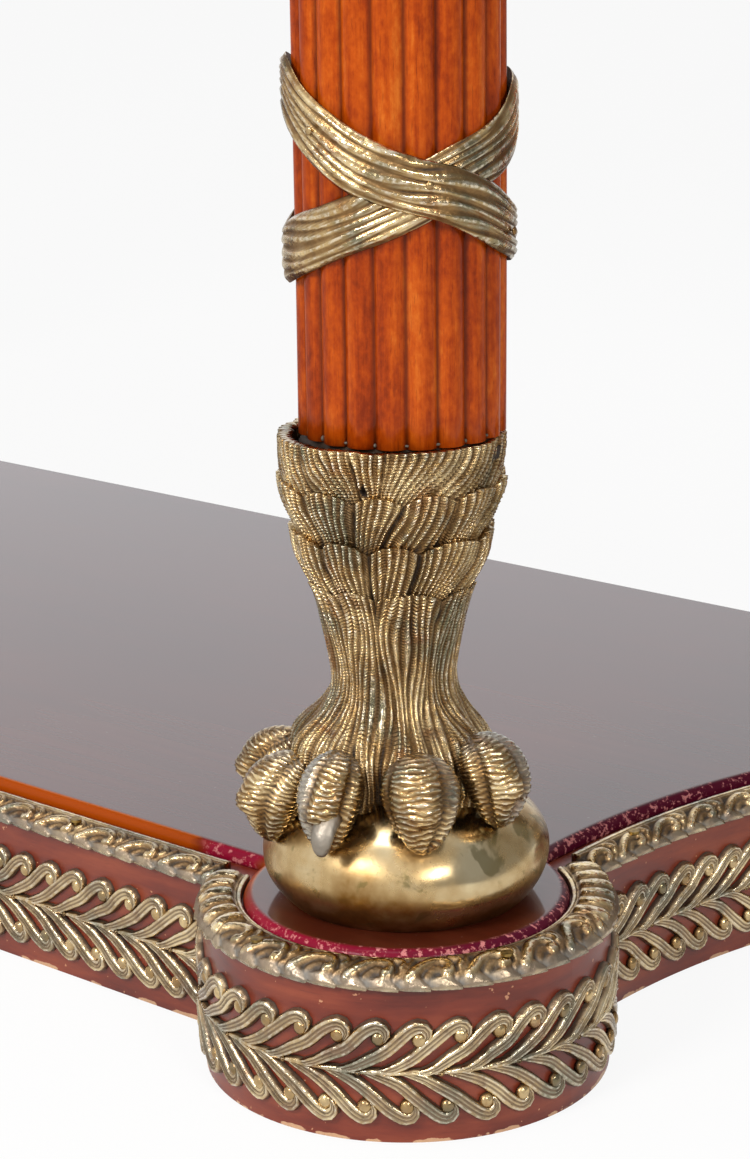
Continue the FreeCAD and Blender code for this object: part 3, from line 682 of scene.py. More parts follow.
def brassBun():
    foot = -math.asin(ball["drop"] / ball["halfHeight"])
    level = np.linspace(foot, math.pi / 2 - 0.02, ball["rows"])[:, None]
    turn = onceRound(ball["columns"])
    dent = 0.25 * mm * np.sin(3 * turn + 5 * level) + 0.12 * mm * np.sin(7 * turn - 9 * level + 1.0)
    radius = (ball["radius"] + dent) * np.cos(level)
    above = ball["halfHeight"] * np.sin(level)
    low = smoothStep(ball["darkBelow"] - above, 0, ball["darkBelow"] + ball["drop"])
    height = panelTop + ball["drop"] + above
    rim = roundAxis(ball["rim"] * radius[:1], turn, height[:1])
    points = np.concatenate((rim, roundAxis(radius, turn, height)))
    return gridPart(points, low=np.concatenate((low[:1], low)))


for corner in corners:
    middle = centreOf("bun_foot_" + corner)
    shape = placed(brassBun(), ball["turnEach"] * corners.index(corner), (middle.x, middle.y, 0))
    piece = makeObject("ball_" + corner, shape, brassBall, capLoops=True)
    settle(piece, "gilt_bronze", "bun_foot_" + corner)
print("balls")


# Paw castings: collars of fur locks, a shin of long strands that spread over the foot, toes and claws
paw = {
    "aside": -2.9 * mm,        # the casting sits this far off the column's middle, towards the table's middle
    "ahead": 2.4 * mm,         # and this far ahead of it
    "turnDegrees": 14.0,       # the paws point this far outward of straight ahead
    "seed": 5,
    "columns": 448,
    "cuffRadius": 39 * mm,
    "strand": 3.2 * mm,        # width of one strand of fur
    "strandDepth": 1.6 * mm,
    "nailHole": (0.19, 13.0),  # direction, and drop below the rim in mm
    "holeDepth": 2.2 * mm,
    "rim": columnFoot - 0.8 * mm,
    # drop below the rim and radius there, in mm
    "profile": ((0, 38.6), (8, 39.0), (17, 38.9), (22, 38.2), (27, 36.4), (33, 34.2), (43, 33.4), (51, 30.6),
                (58, 27.4), (71, 24.8), (80, 22.9), (87, 21.9), (94, 22.6), (101, 26.2), (108, 31.5),
                (117, 36.6), (130, 39.5)),
    "softening": 19,           # quarters of a mm over which the profile is rounded off
    # drop of the top edge and of the foot, how proud the top edge stands, height of its arches, locks, lean
    "collars": (
        (0.0, 19.5, 0.9, 0.0, 12, 0.46),
        (16.5, 37.0, 0.8, 3.4, 12, 0.42),
        (35.0, 58.0, 1.3, 4.0, 11, 0.26),
    ),
    "shinTop": 55.0,           # drop of the shin's own top edge
    "shinFoot": 131,
    "shinLocks": 9,
    # how a top edge turns inward: distance in and down, in mm
    "collarLip": ((4.9, 4.0), (4.5, 0.9), (3.2, -0.12), (1.6, -0.3), (0.5, -0.15)),
    "shinLip": ((3, 3), (2, 0.3), (0.9, -0.1)),
    # the inner wall: its levels as drops in mm, its distance inside the outer one, and its largest radius
    "innerDrops": (133, 118, 104, 94, 87, 79, 66, 60),
    "wall": 5 * mm,
    "innerRadius": 26 * mm,
    # seat under the column, with the groove round it painted dark as shade: radius in mm, and drop below the
    # column's foot
    "seat": ((20, 0), (34.2, 0), (34.2, 4), (36.2, 4), (36.4, 8), (20, 8)),
}


def shinRadius(height):
    drops, radii = zip(*paw["profile"])
    fine = np.linspace(-20, 150, 681)
    wide = paw["softening"]
    raw = np.pad(np.interp(fine, drops, radii), wide // 2, mode="edge")
    soft = np.convolve(raw, np.ones(wide) / wide, mode="valid")
    return np.interp((paw["rim"] - height) / mm, fine, soft) * mm


def around(radius, turn, height):
    # turn 0 is the way the paw points, which is -Y before it is placed
    return np.stack((radius * np.sin(turn), -radius * np.cos(turn), height + 0 * radius), axis=-1)


def lipRows(radius, turn, height, steps):
    return [around(radius[:1] - inward * mm, turn, height[:1] - down * mm) for inward, down in steps]


def lockPlaces(turn, count, rng):
    # which lock of fur each direction is in, and where across it, from -1 to 1
    edges = np.linspace(-math.pi, math.pi, count + 1)
    edges[1:-1] += rng.uniform(-0.24, 0.24, count - 1) * 2 * math.pi / count
    turn = np.mod(turn + math.pi, 2 * math.pi) - math.pi
    lock = np.clip(np.searchsorted(edges, turn, side="right") - 1, 0, count - 1)
    middle = (edges[lock] + edges[lock + 1]) / 2
    half = (edges[lock + 1] - edges[lock]) / 2
    return lock, middle, half, (turn - middle) / half


def furCollar(topDrop, footDrop, proud, arch, locks, lean, rng):
    turn = onceRound(paw["columns"], -math.pi)
    share = np.linspace(0, 1, max(14, int(footDrop - topDrop)))[:, None]
    # strands lean towards the front as they fall, so each point is traced back up to where its strand starts
    sway = np.sin(turn) + 0.35 * np.sin(3 * turn + rng.uniform(0, 6))
    sway = sway + 0.25 * np.sin(5 * turn + rng.uniform(0, 6))
    root = turn + lean * share ** 1.5 * sway
    edgeSeed = int(rng.integers(1000))
    lock, _, half, across = lockPlaces(root, locks, np.random.default_rng(edgeSeed))
    topAcross = lockPlaces(turn, locks, np.random.default_rng(edgeSeed))[3]
    uneven = 0.5 * np.sin(2 * turn + 1) + 0.4 * np.sin(7 * turn + 2)
    top = paw["rim"] - topDrop * mm + (arch * ((1 - topAcross ** 2) - 0.6) + 0.5 * uneven) * mm
    foot = paw["rim"] - footDrop * mm
    height = top + (foot - top) * share
    bend = rng.choice((-1, 1), locks)[lock] * rng.uniform(0.3, 1.0, locks)[lock]
    count = np.round(2 * half * paw["cuffRadius"] / paw["strand"])
    lanes = count * 0.5 * across * (1 + 0.1 * share) + bend * share ** 2 * 0.9 * (1 - across ** 2)
    lanes = lanes + 0.12 * np.sin(23 * turn + 6 * share)
    strand = ridge(lanes, 1.8)
    fine = ridge(lanes * 2 + 0.4, 1.6)
    # the top collar has no arches, and its locks stand less proud
    edgeDepth, crownHeight, sunk = (1.0, 2.1, 1.2) if arch else (0.55, 1.3, 0.9)
    edge = smoothStep(np.abs(across), 0.84, 1.0) * edgeDepth
    flare = proud * (1 - share) ** 2 + 0.7 * np.sin(math.pi * share) - 0.8 * share
    crown = crownHeight * (1 - across ** 2) * (1 - 0.4 * share)
    radius = shinRadius(height) + (flare + crown - sunk) * mm
    radius = radius + paw["strandDepth"] * (strand - 0.6) * (1 - 0.4 * edge) + 0.28 * mm * (fine - 0.5)
    radius = radius - 0.9 * mm * edge * np.minimum(1, 0.3 + share * 2)
    holeTurn, holeDrop = paw["nailHole"]
    far = np.hypot((turn - holeTurn) * paw["cuffRadius"], paw["rim"] - height - holeDrop * mm)
    hole = smoothStep(far, 1.5 * mm, 0.9 * mm) * (topDrop == 0)
    radius = radius - paw["holeDepth"] * hole
    # painted shade: darker in the strands' grooves, along the locks' edges, at the collar's foot over the
    # next one and in the nail hole; the row tucked under it is fully dark
    shade = smoothStep(share, 0.75, 1.0) * 0.5
    hollow = np.clip((1 - strand) ** 1.1 * 0.8 + (1 - fine) ** 2 * 0.22 + 0.5 * edge + shade, 0, 1) + 2 * hole
    chase = top - height + 0.5 * mm * across
    lip = lipRows(radius, turn, height, paw["collarLip"])
    under = around(radius[-1:] - 3.0 * mm, turn, height[-1:] - 0.3 * mm)
    points = np.concatenate(lip + [around(radius, turn, height), under])
    lipMark = np.repeat(hollow[:1] * 0.5, len(lip), axis=0)
    return gridPart(points, loopRows=True, hollow=np.concatenate((lipMark, hollow, np.ones_like(hollow[:1]))),
                    chase=np.concatenate((lipMark * 0, chase, lipMark[:1] * 0)))


# One line for each toe: direction, height of its middle, height and width against the middle toe,
# how silvery it is worn and on which side, and where round it its lobes divide
toes = (
    (-79, 106.7, 0.88, 0.90, 0.3, -1.3, (-2.5, -0.9, 1.0, 2.4)),
    (-43, 105.5, 0.92, 0.98, 0.75, -1.3, (-2.6, -1.0, 0.95, 2.3)),
    (-5, 111.2, 1.00, 0.97, 0.85, -1.0, (-2.5, -1.15, -0.15, 1.1, 2.4)),
    (37, 112.0, 0.97, 1.18, 0.4, 1.5, (-2.4, -1.35, 0.55, 1.7, 2.7)),
    (76, 115.0, 0.95, 1.04, 0.6, 0.9, (-2.6, -1.2, 0.1, 1.5, 2.6)),
)
toe = {
    "line": ((35, 16.8), (48, 9.5), (47.5, -16.8)),     # radius, and height above the toe's middle, in mm
    "length": 42 * mm,
    "halfWidth": 11.4 * mm,
    "halfDepth": 11.6 * mm,
    "rib": 2.05 * mm,                                   # chased ribs across each lobe
    "ribDepth": 1.05 * mm,
    "lobeHeight": 1.5 * mm,
    "seamDepth": 1.2 * mm,
    "sheath": 1.8 * mm,                                 # fold of skin the claw comes out of
    "rows": 84,
    "columns": 50,
}


def toeNearness(turn):
    # 1 in the middle of a toe and 0 between two toes
    near = [np.exp(-((turn - math.radians(one[0])) / 0.25) ** 2) for one in toes]
    return np.max(near, axis=0)


def shinAndFoot(rng):
    turn = onceRound(paw["columns"], -math.pi)
    _, middle, _, across = lockPlaces(turn, paw["shinLocks"], rng)
    # rows lie closer over the foot
    drop = np.concatenate((np.linspace(paw["shinTop"], 94, 32), np.linspace(95, paw["shinFoot"], 38)))
    drop = drop[:, None]
    topness = smoothStep(drop, paw["shinTop"] + 13, paw["shinTop"])
    height = paw["rim"] - drop * mm + topness * (3.4 * (1 - across ** 2) - 2.4 + 2.6 * np.cos(turn)) * mm
    atToes = smoothStep(math.radians(100) - np.abs(turn), 0, 0.25)
    nearness = toeNearness(turn)
    gap = (1 - nearness) * atToes
    spread = smoothStep(drop, 96, 112)
    low = smoothStep(drop, 112, 124)
    knuckle = np.exp(-((drop - 110) / 8) ** 2)
    radius = shinRadius(height) + topness * 0.8 * mm * (1 - across ** 2)
    radius = radius + nearness * atToes * knuckle * 4.0 * mm - gap * low * 5.5 * mm
    sway = 0.5 * np.sin(5 * turn + 0.09 * drop) + 0.35 * np.sin(9 * turn - 0.13 * drop + 1)
    sway = sway - 0.5 * topness * np.sign(middle)
    fewer = ridge(33 * turn / math.pi + sway, 1.6)
    more = ridge(50 * turn / math.pi + 1.4 * sway + 0.3, 1.6)
    strand = fewer * (1 - spread) + more * spread
    clump = ridge(9 * turn / math.pi + 0.6 * sway + 0.2, 2.0)
    edge = smoothStep(np.abs(across), 0.86, 1.0) * topness
    radius = radius + 1.15 * mm * (strand - 0.6) + (0.9 + 0.9 * spread) * mm * (clump - 0.6)
    radius = radius - edge * 0.9 * mm - smoothStep(drop, 126, 130) * gap * 8 * mm
    # painted shade: darker in the grooves between strands and clumps, along the locks' edges and in the gaps
    # between the toes; the inner wall is painted fully dark
    hollow = (1 - strand) ** 1.2 * 0.75 + (1 - clump) ** 2 * (0.25 + 0.45 * spread)
    hollow = np.clip(hollow + 0.6 * edge + gap * low * 0.45, 0, 1)
    chase = drop * mm + 0.4 * mm * np.sin(40 * turn)
    lip = lipRows(radius, turn, height, paw["shinLip"])
    inside = []
    for innerDrop in paw["innerDrops"]:
        level = np.full_like(turn, paw["rim"] - innerDrop * mm)
        inside.append(around(np.minimum(shinRadius(level) - paw["wall"], paw["innerRadius"]), turn, level))
    points = np.concatenate(lip + [around(radius, turn, height)] + inside)
    lipMark = np.repeat(hollow[:1] * 0.6, len(lip), axis=0)
    innerMark = np.ones((len(inside), turn.shape[1]))
    return gridPart(points, loopRows=True, hollow=np.concatenate((lipMark, hollow, innerMark)),
                    chase=np.concatenate((lipMark * 0, chase, innerMark * 0)))


def alongArch(line, v):
    # points on the arch from the first point, by way of the second, to the third, and its direction there
    a, b, c = (np.array(point, float) * mm for point in line)
    middle = a * (1 - v) ** 2 + 2 * b * v * (1 - v) + c * v ** 2
    slope = 2 * (b - a) * (1 - v) + 2 * (c - b) * v
    return middle, slope / np.linalg.norm(slope, axis=-1, keepdims=True)


def facing(direction, radial, side, height):
    # points by their distance ahead of the paw's middle and aside, turned to face the direction
    turn = math.radians(direction)
    x = radial * math.sin(turn) + side * math.cos(turn)
    y = -radial * math.cos(turn) + side * math.sin(turn)
    return np.stack((x, y, height), axis=-1)


def furToe(direction, level, tall, wide, worn, wornSide, lobes, rng):
    v = np.linspace(0, 1, toe["rows"])[:, None]
    u = onceRound(toe["columns"], -math.pi)
    middle, slope = alongArch(toe["line"], v)
    swell = np.sin(math.pi * v ** 0.9) ** 0.58
    edges = np.array(lobes + (lobes[0] + 2 * math.pi,))
    turned = u + 0.35 * (v - 0.5)
    turned = np.where(turned < edges[0], turned + 2 * math.pi, turned)
    lobe = np.clip(np.searchsorted(edges, turned, side="right") - 1, 0, len(lobes) - 1)
    lobeMiddle = (edges[lobe] + edges[lobe + 1]) / 2
    lobeHalf = (edges[lobe + 1] - edges[lobe]) / 2
    across = (turned - lobeMiddle) / lobeHalf
    lanes = v * toe["length"] / toe["rib"] + 0.8 * across ** 2 + rng.uniform(0, 1, len(lobes))[lobe]
    lanes = lanes + 0.2 * np.sin(7 * u + 19 * v) + 0.14 * np.sin(13 * u - 31 * v)
    rib = ridge(lanes, 1.7)
    seam = smoothStep(np.abs(across), 0.6, 1.0) ** 1.5
    sheath = np.exp(-(u / 0.42) ** 2) * (smoothStep(v, 0.5, 0.62) - 1.8 * smoothStep(v, 0.68, 0.76))
    lift = toe["ribDepth"] * (rib - 0.5) * (1 - 0.6 * seam) + toe["lobeHeight"] * lobeHalf * (1 - across ** 2)
    lift = lift - toe["seamDepth"] * seam - 0.4 * mm + toe["sheath"] * sheath
    lift = lift * smoothStep(swell, 0.0, 0.5)
    away = (toe["halfDepth"] * swell * (1 + 0.1 * np.cos(u)) + lift) * np.cos(u)
    side = (toe["halfWidth"] * wide * swell + lift) * np.sin(u)
    radial = middle[:, :1] + away * np.abs(slope[:, 1:])
    height = level * mm + middle[:, 1:] * tall + away * slope[:, :1] * 0.6
    # painted shade in the ribs' grooves and the seams between the lobes
    hollow = np.clip((1 - rib) ** 1.1 * 0.85 + 0.4 * seam, 0, 1)
    silver = worn * (smoothStep(np.cos(u - wornSide), 0.55, 0.95) + 0.5 * (1 - smoothStep(v, 0.08, 0.3)))
    return gridPart(facing(direction, radial, side, height), hollow=hollow, worn=np.clip(silver, 0, 1))


# The claw of the middle toe, the only one that isn't worn away
claw = {
    "line": ((50, 111), (60.5, 106.5), (58.5, 97.5)),     # radius and height, in mm
    "direction": -0.5,
    "halfWidth": 5.0 * mm,
    "halfDepth": 3.4 * mm,
    "worn": 0.51,
}


def bluntClaw():
    v = np.linspace(0, 1, 24)[:, None]
    u = onceRound(18, -math.pi)
    middle, slope = alongArch(claw["line"], v)
    taper = np.sqrt(np.minimum(v * 14, 1)) * np.sqrt(1 - v ** 5) * (1 - 0.25 * v)
    away = claw["halfDepth"] * taper * np.cos(u)
    side = claw["halfWidth"] * taper * np.sin(u)
    radial = middle[:, :1] - away * slope[:, 1:]
    height = middle[:, 1:] + away * slope[:, :1]
    silver = smoothStep(v, 0.0, 0.25) * claw["worn"]
    return gridPart(facing(claw["direction"], radial, side, height), hollow=0.6, worn=silver)


def cuffSeat():
    turn = onceRound(96, -math.pi)
    radius, drop = np.array(paw["seat"]).T[:, :, None] * mm
    # the whole seat is painted dark, as the shade in the groove
    return gridPart(around(radius + 0 * turn, turn, columnFoot - drop), loopRows=True, hollow=1.0)


def pawCasting():
    rng = np.random.default_rng(paw["seed"])
    parts = [furCollar(*collar, rng) for collar in paw["collars"]]
    parts.append(shinAndFoot(rng))
    parts += [furToe(*one, rng) for one in toes]
    return joined(parts + [bluntClaw()])


onePaw = pawCasting()
oneSeat = cuffSeat()
for corner in corners:
    middle = centreOf("column_" + corner)
    side = sideOf(corner)
    turn = math.radians(paw["turnDegrees"]) * side
    casting = placed(onePaw, turn, (middle.x + side * paw["aside"], middle.y - paw["ahead"], 0))
    shape = joined([casting, placed(oneSeat, shift=(middle.x, middle.y, 0))])
    piece = makeObject("lion_paw_" + corner, shape, giltBronze)
    settle(piece, "gilt_bronze", "paw_" + corner)
print("paws:", len(onePaw["faces"]) * 2, "triangles each")


# Cast trim that follows the outline: one tree lays a short unit end to end along a path and bends it round
def trimTree():
    tree = bpy.data.node_groups.new("trim along path", "GeometryNodeTree")
    tree.interface.new_socket("Geometry", in_out="OUTPUT", socket_type="NodeSocketGeometry")
    sockets = (("Path", "NodeSocketObject"), ("Unit", "NodeSocketObject"), ("Unit Length", "NodeSocketFloat"),
               ("Start", "NodeSocketFloat"), ("Stop", "NodeSocketFloat"), ("Overrun", "NodeSocketInt"),
               ("Material", "NodeSocketMaterial"))
    for name, kind in sockets:
        tree.interface.new_socket(name, in_out="INPUT", socket_type=kind)
    node = partial(addNode, tree)
    given = tree.nodes.new("NodeGroupInput").outputs
    span = node("subtract", given["Stop"], given["Start"])
    count = node("maximum", node("round", node("divide", span, given["Unit Length"])), 1.0)
    step = node("divide", span, count)
    first = node("subtract", given["Start"], node("multiply", step, given["Overrun"]))
    spots = node("GeometryNodeMeshLine", Count=node("add", count, given["Overrun"]),
                 Start_Location=node("vector", first), Offset=node("vector", step))
    unit = node("geometryOf", given["Unit"])
    size = node("vector", node("divide", step, given["Unit Length"]), 1.0, 1.0)
    row = node("GeometryNodeInstanceOnPoints", Points=spots, Instance=unit, Scale=size)
    row = node("GeometryNodeRealizeInstances", Geometry=row)
    row = node("GeometryNodeMergeByDistance", Geometry=row, Distance=0.01 * mm)
    along = node("ShaderNodeSeparateXYZ", node("GeometryNodeInputPosition")).node.outputs
    before = node("FunctionNodeCompare", along["X"], given["Start"], settings={"operation": "LESS_THAN"})
    after = node("FunctionNodeCompare", along["X"], given["Stop"], settings={"operation": "GREATER_THAN"})
    outside = node("FunctionNodeBooleanMath", before, after, settings={"operation": "OR"})
    row = node("GeometryNodeDeleteGeometry", Geometry=row, Selection=outside, settings={"domain": "FACE"})
    kept = node("ShaderNodeClamp", along["X"], given["Start"], given["Stop"])
    line = node("GeometryNodeSampleCurve", Curves=node("geometryOf", given["Path"]), Length=kept,
                settings={"mode": "LENGTH", "use_all_curves": True}).node.outputs
    heading = node("ShaderNodeSeparateXYZ", line["Tangent"]).node.outputs
    outward = node("vector", heading["Y"], node("multiply", heading["X"], -1.0))
    pushed = node("ShaderNodeVectorMath", outward, along["Y"], settings={"operation": "SCALE"})
    bent = node("ShaderNodeVectorMath", line["Position"], pushed)
    bent = node("ShaderNodeVectorMath", bent, node("vector", 0.0, 0.0, along["Z"]))
    row = node("GeometryNodeSetPosition", Geometry=row, Position=bent)
    row = node("GeometryNodeSetShadeSmooth", Geometry=row, Shade_Smooth=True)
    row = node("GeometryNodeRealizeInstances", Geometry=row)
    row = node("GeometryNodeSetMaterial", Geometry=row, Material=given["Material"])
    tree.links.new(row, tree.nodes.new("NodeGroupOutput").inputs[0])
    return tree


trim = trimTree()


def pathCurve(points, height):
    curve = bpy.data.curves.new("path", "CURVE")
    curve.dimensions = "3D"
    spline = curve.splines.new("POLY")
    spline.points.add(len(points) - 1)
    for point, (x, y) in zip(spline.points, points):
        point.co = (x, y, height, 1)
    return linkedObject("path", curve)


def pathLength(points):
    return float(np.sum(np.linalg.norm(np.diff(points, axis=0), axis=1)))


def laidTrim(path, unit, unitLength, spans, overrun=0):
    # lays the unit over each span of the path and gives back one plain mesh for each
    meshes = []
    for start, stop in spans:
        host = linkedObject("trim", bpy.data.meshes.new("trim"))
        laying = host.modifiers.new("trim", "NODES")
        laying.node_group = trim
        values = {"Path": path, "Unit": unit, "Unit Length": unitLength, "Start": start, "Stop": stop,
                  "Overrun": overrun, "Material": giltBronze}
        for item in trim.interface.items_tree:
            if item.in_out == "INPUT":
                laying[item.identifier] = values[item.name]
        depsgraph = bpy.context.evaluated_depsgraph_get()
        meshes.append(bpy.data.meshes.new_from_object(host.evaluated_get(depsgraph)))
        bpy.data.objects.remove(host)
    return meshes


def mergedObject(name, meshes):
    work = bmesh.new()
    for mesh in meshes:
        work.from_mesh(mesh)
        bpy.data.meshes.remove(mesh)
    whole = bpy.data.meshes.new(name)
    work.to_mesh(whole)
    work.free()
    return meshObject(name, whole, giltBronze, capLoops=True)


def hiddenUnit(name, part):
    unit = makeObject(name, part, giltBronze)
    unit.hide_render = True
    return unit


# Openwork leaf band
leafBand = {
    "pitch": 14.5 * mm,
    "leaves": 4,              # leaves in one unit
    "stemHeight": 27 * mm,
    "apronLift": 18.25 * mm,  # the apron's band sits this much higher above the apron's foot
    "endGap": 0.6 * mm,
    "tall": 1.07,             # stretch of the leaves up and down
    "lag": 4.6 * mm,          # the lower leaves start this far behind the upper ones
    "deep": 3.0 * mm,
    "rows": 20,
    "fineSteps": 200,         # steps of the line that the rows are picked from
    "seed": 11,
    # middle line of one leaf, in mm from its root on the stem, and its half width along that line
    "strap": ((-3, -0.2), (2, 0.3), (6, 1.5), (12, 4.5), (18, 8.6), (23.0, 12.7), (27.0, 15.6), (30.2, 16.2),
              (32.2, 14.4), (32.0, 11.8), (30.2, 10.6)),
    "halfWidths": (0.8, 1.7, 2.35, 2.6, 2.6, 2.4, 1.7),
    # section across a leaf: place from edge to edge, height as a share of its depth, and painted shade
    "section": ((-1, -0.12, 1), (-1, 0.35, 0.75), (-0.8, 0.85, 0.15), (-0.52, 0.95, 0), (-0.3, 0.7, 0.65),
                (-0.02, 0.97, 0.1), (0.26, 0.7, 0.65), (0.5, 1.03, 0), (0.8, 0.88, 0.15), (1, 0.3, 0.75),
                (1, -0.12, 1)),
    "worn": 0.2,
    "curl": (29.6, 12.0),     # middle of the bead inside the hook, in mm
    "bead": 2.8 * mm,
    "beadDepth": 3.15 * mm,
    # section across the stem: place, and height in mm
    "stem": ((-1, -0.3), (-1, 1.0), (-0.6, 2.2), (0, 2.5), (0.6, 2.2), (1, 1.0), (1, -0.3)),
    "stemHalf": 1.25 * mm,
    "stemSwell": 0.35 * mm,
    # sunk pin hole in every second leaf's stem: radius and height in mm, and painted shade
    "hole": ((1.15, 2.45, 0.4), (0.85, 2.7, 0.3), (0.6, 2.15, 2.0), (0.05, 2.1, 2.0)),
    "holeAlong": 8 * mm,
}


def leafStrap(line, deep):
    share = np.linspace(0, 1, leafBand["rows"]) ** 0.68    # rows lie closer round the hook
    spots = np.round(share * leafBand["fineSteps"]).astype(int)
    middle = curveThrough(line, leafBand["fineSteps"] + 1) * mm
    slope = np.gradient(middle, axis=0)
    slope /= np.linalg.norm(slope, axis=1, keepdims=True)
    middle, slope = middle[spots], slope[spots]
    half = np.interp(share, np.linspace(0, 1, len(leafBand["halfWidths"])), leafBand["halfWidths"]) * mm
    across, rise, shade = np.array(leafBand["section"]).T
    ends = np.minimum(1, np.minimum(share, 1 - share) * 9) ** 0.5
    out = across * (half * ends + 0.02 * mm)[:, None]
    x, z = middle[:, :1] - slope[:, 1:] * out, middle[:, 1:] + slope[:, :1] * out
    points = np.stack((x, deep * (0.55 + 0.45 * ends)[:, None] * rise, z), axis=-1)
    closing, ending = (np.broadcast_to(row.mean(axis=0), row.shape)[None] for row in (points[0], points[-1]))
    return gridPart(np.concatenate((closing, points, ending)), worn=leafBand["worn"], hollow=shade)


def leafBead(x, z):
    v = np.linspace(-0.2, math.pi / 2, 5)[:, None]
    u = onceRound(10)
    radius = leafBand["bead"] * np.cos(v)
    height = leafBand["beadDepth"] * (0.35 + 0.65 * np.sin(v))
    points = np.stack((x + radius * np.cos(u), height + 0 * u, z + radius * np.sin(u)), axis=-1)
    # painted shade round the bead's foot
    return gridPart(points, hollow=smoothStep(-v, -0.7, 0.2) * 0.7 + 0.25)


def openLeaf(rng):
    wobble = rng.normal(0, 0.3, (len(leafBand["strap"]), 2))
    wobble[:3] = 0
    wobble[6:] = wobble[6]
    strap = leafStrap(np.array(leafBand["strap"], float) + wobble, leafBand["deep"] * rng.uniform(0.85, 1.15))
    x, z = (np.array(leafBand["curl"]) + rng.normal(0, 0.2, 2)) * mm
    return joined([strap, leafBead(x, z)])


def mirroredHeight(part):
    return {**part, "points": part["points"] * np.array((1, 1, -1)), "faces": part["faces"][:, ::-1]}


def leafUnit():
    rng = np.random.default_rng(leafBand["seed"])
    parts = []
    pitch, length = leafBand["pitch"], leafBand["pitch"] * leafBand["leaves"]
    for i in range(leafBand["leaves"]):
        parts.append(placed(openLeaf(rng), shift=(i * pitch, 0, 0)))
        parts.append(placed(mirroredHeight(openLeaf(rng)), shift=(i * pitch - leafBand["lag"], 0, 0)))
    leaves = joined(parts)
    leaves["points"][:, 2] *= leafBand["tall"]
    along = np.linspace(0, length, 8 * leafBand["leaves"] + 1)[:, None]
    across, rise = np.array(leafBand["stem"]).T
    half = leafBand["stemHalf"] + leafBand["stemSwell"] * np.cos(2 * math.pi * along / pitch)
    stem = np.stack((along + 0 * across, rise * mm + 0 * along, across * half), axis=-1)
    # painted shade along the stem's sides
    parts = [leaves, gridPart(stem, hollow=np.abs(across) ** 3 * 0.8, worn=0.1)]
    turn = onceRound(12)
    radius, depth, dark = np.array(leafBand["hole"]).T[:, :, None]
    hole = np.stack((radius * np.cos(turn), depth + 0 * turn, radius * np.sin(turn)), axis=-1) * mm
    for i in range(0, leafBand["leaves"], 2):
        parts.append(placed(gridPart(hole, hollow=dark), shift=(i * pitch + leafBand["holeAlong"], 0, 0)))
    return joined(parts), length


leafShape, leafLength = leafUnit()
leafPiece = hiddenUnit("leaf unit", leafShape)
apronMeshes = []
for stretch, points in outlineStretches(0, 0).items():
    span = (leafBand["endGap"], pathLength(points) - leafBand["endGap"])
    for onApron in (False, True):
        lift = apronFoot + leafBand["apronLift"] if onApron else 0
        path = pathCurve(points, leafBand["stemHeight"] + lift)
        meshes = laidTrim(path, leafPiece, leafLength, [span], overrun=1)
        bpy.data.objects.remove(path)
        if onApron:
            apronMeshes += meshes
        else:
            piece = mergedObject("leaves_" + stretch, meshes)
            settle(piece, "gilt_bronze", "plinth_leaf_band_" + stretch)
piece = mergedObject("apron_leaves", apronMeshes)
settle(piece, "gilt_bronze", "apron_leaf_bands")
bpy.data.objects.remove(leafPiece)
print("leaf bands:", len(piece.data.polygons) * 2, "triangles on the apron")


# Cast edge moulding: a smooth inner flange, then scrollwork that rolls over the edge to a scalloped lip
moulding = {
    "unit": 22.4,              # length of one repeat, with two lobes of the lip, in mm
    "columns": 51,
    "barUnit": 9.0,            # plain bars beside each end of a drum
    "barColumns": 19,
    "barReach": 56 * mm,
    # section, as distance out from the wood's face and height above the plinth, in mm
    "flange": ((-9.75, -0.05), (-9.75, 4.3), (-9.3, 4.8), (-7.7, 5.0), (-7.2, 4.6)),
    "roll": ((-7.2, 4.5), (-4.5, 4.35), (-1.6, 3.3), (0.8, 1.4), (2.3, -0.6)),
    # the same round the drums, where it reaches in to the panel's disc
    "drumFlange": ((-14.3, -0.05), (-14.3, 2.9), (-14.0, 3.3), (-13.2, 3.7), (-12.6, 3.6)),
    "drumRoll": ((-12.6, 3.5), (-9, 4.3), (-4.8, 4.3), (-1.6, 3.3), (0.8, 1.4), (2.3, -0.6)),
    "lip": ((3.0, -1.9), (2.4, -2.0), (0.05, -2.0), (0.05, -0.05)),
    # painted shade down the flange's foot and under the lip
    "flangeHollow": (1, 0.6, 0.2, 0.05, 0.4),
    "flangeWorn": (0.15,) * 5,
    "lipHollow": (0.1, 0.7, 1, 1),
    # silver wear on the lip, which also paints its highlight
    "lipWornAndHighlight": (0.4,) * 4,
    "rollSteps": 26,
    "strokeSteps": 40,
    "rollLength": 10.4,        # every roll is drawn on this length, in mm
    "relief": 0.9,             # the ground of the scrolls is sunk this far, in mm
    "barRelief": 0.4,
    "scallop": 1.5,
}
scrollStrokes = (
    # points as (along, down the roll), half width, height, all in mm
    (((-3.4, 8.6), (0.4, 6.0), (4.4, 3.9), (8.8, 3.0), (12.2, 4.4), (12.6, 6.6), (10.6, 7.3)), 2.0, 2.2),
    (((3.6, 8.2), (6.2, 6.4), (8.6, 6.1)), 1.5, 1.2),
    (((13.8, 1.9), (16.2, 2.5), (17.8, 4.2), (16.6, 5.8)), 1.5, 2.0),
    (((14.6, 8.4), (17.4, 6.9), (19.8, 4.4), (21.2, 2.2)), 1.2, 1.5),
)


def strokeHeight(along, down, line, half, height):
    path = curveThrough(line, moulding["strokeSteps"])
    best = np.full(along.shape, np.inf)
    for shift in (-moulding["unit"], 0, moulding["unit"]):
        gap = np.sqrt((along[..., None] - path[:, 0] - shift) ** 2 + (down[..., None] - path[:, 1]) ** 2)
        best = np.minimum(best, gap.min(axis=-1))
    return height * np.clip(1 - (best / half) ** 2, 0, 1) ** 0.6


def lobeShare(along):
    # how far through a lobe of the lip each place is, from 0 to 1
    return np.mod(along / (moulding["unit"] / 2), 1)


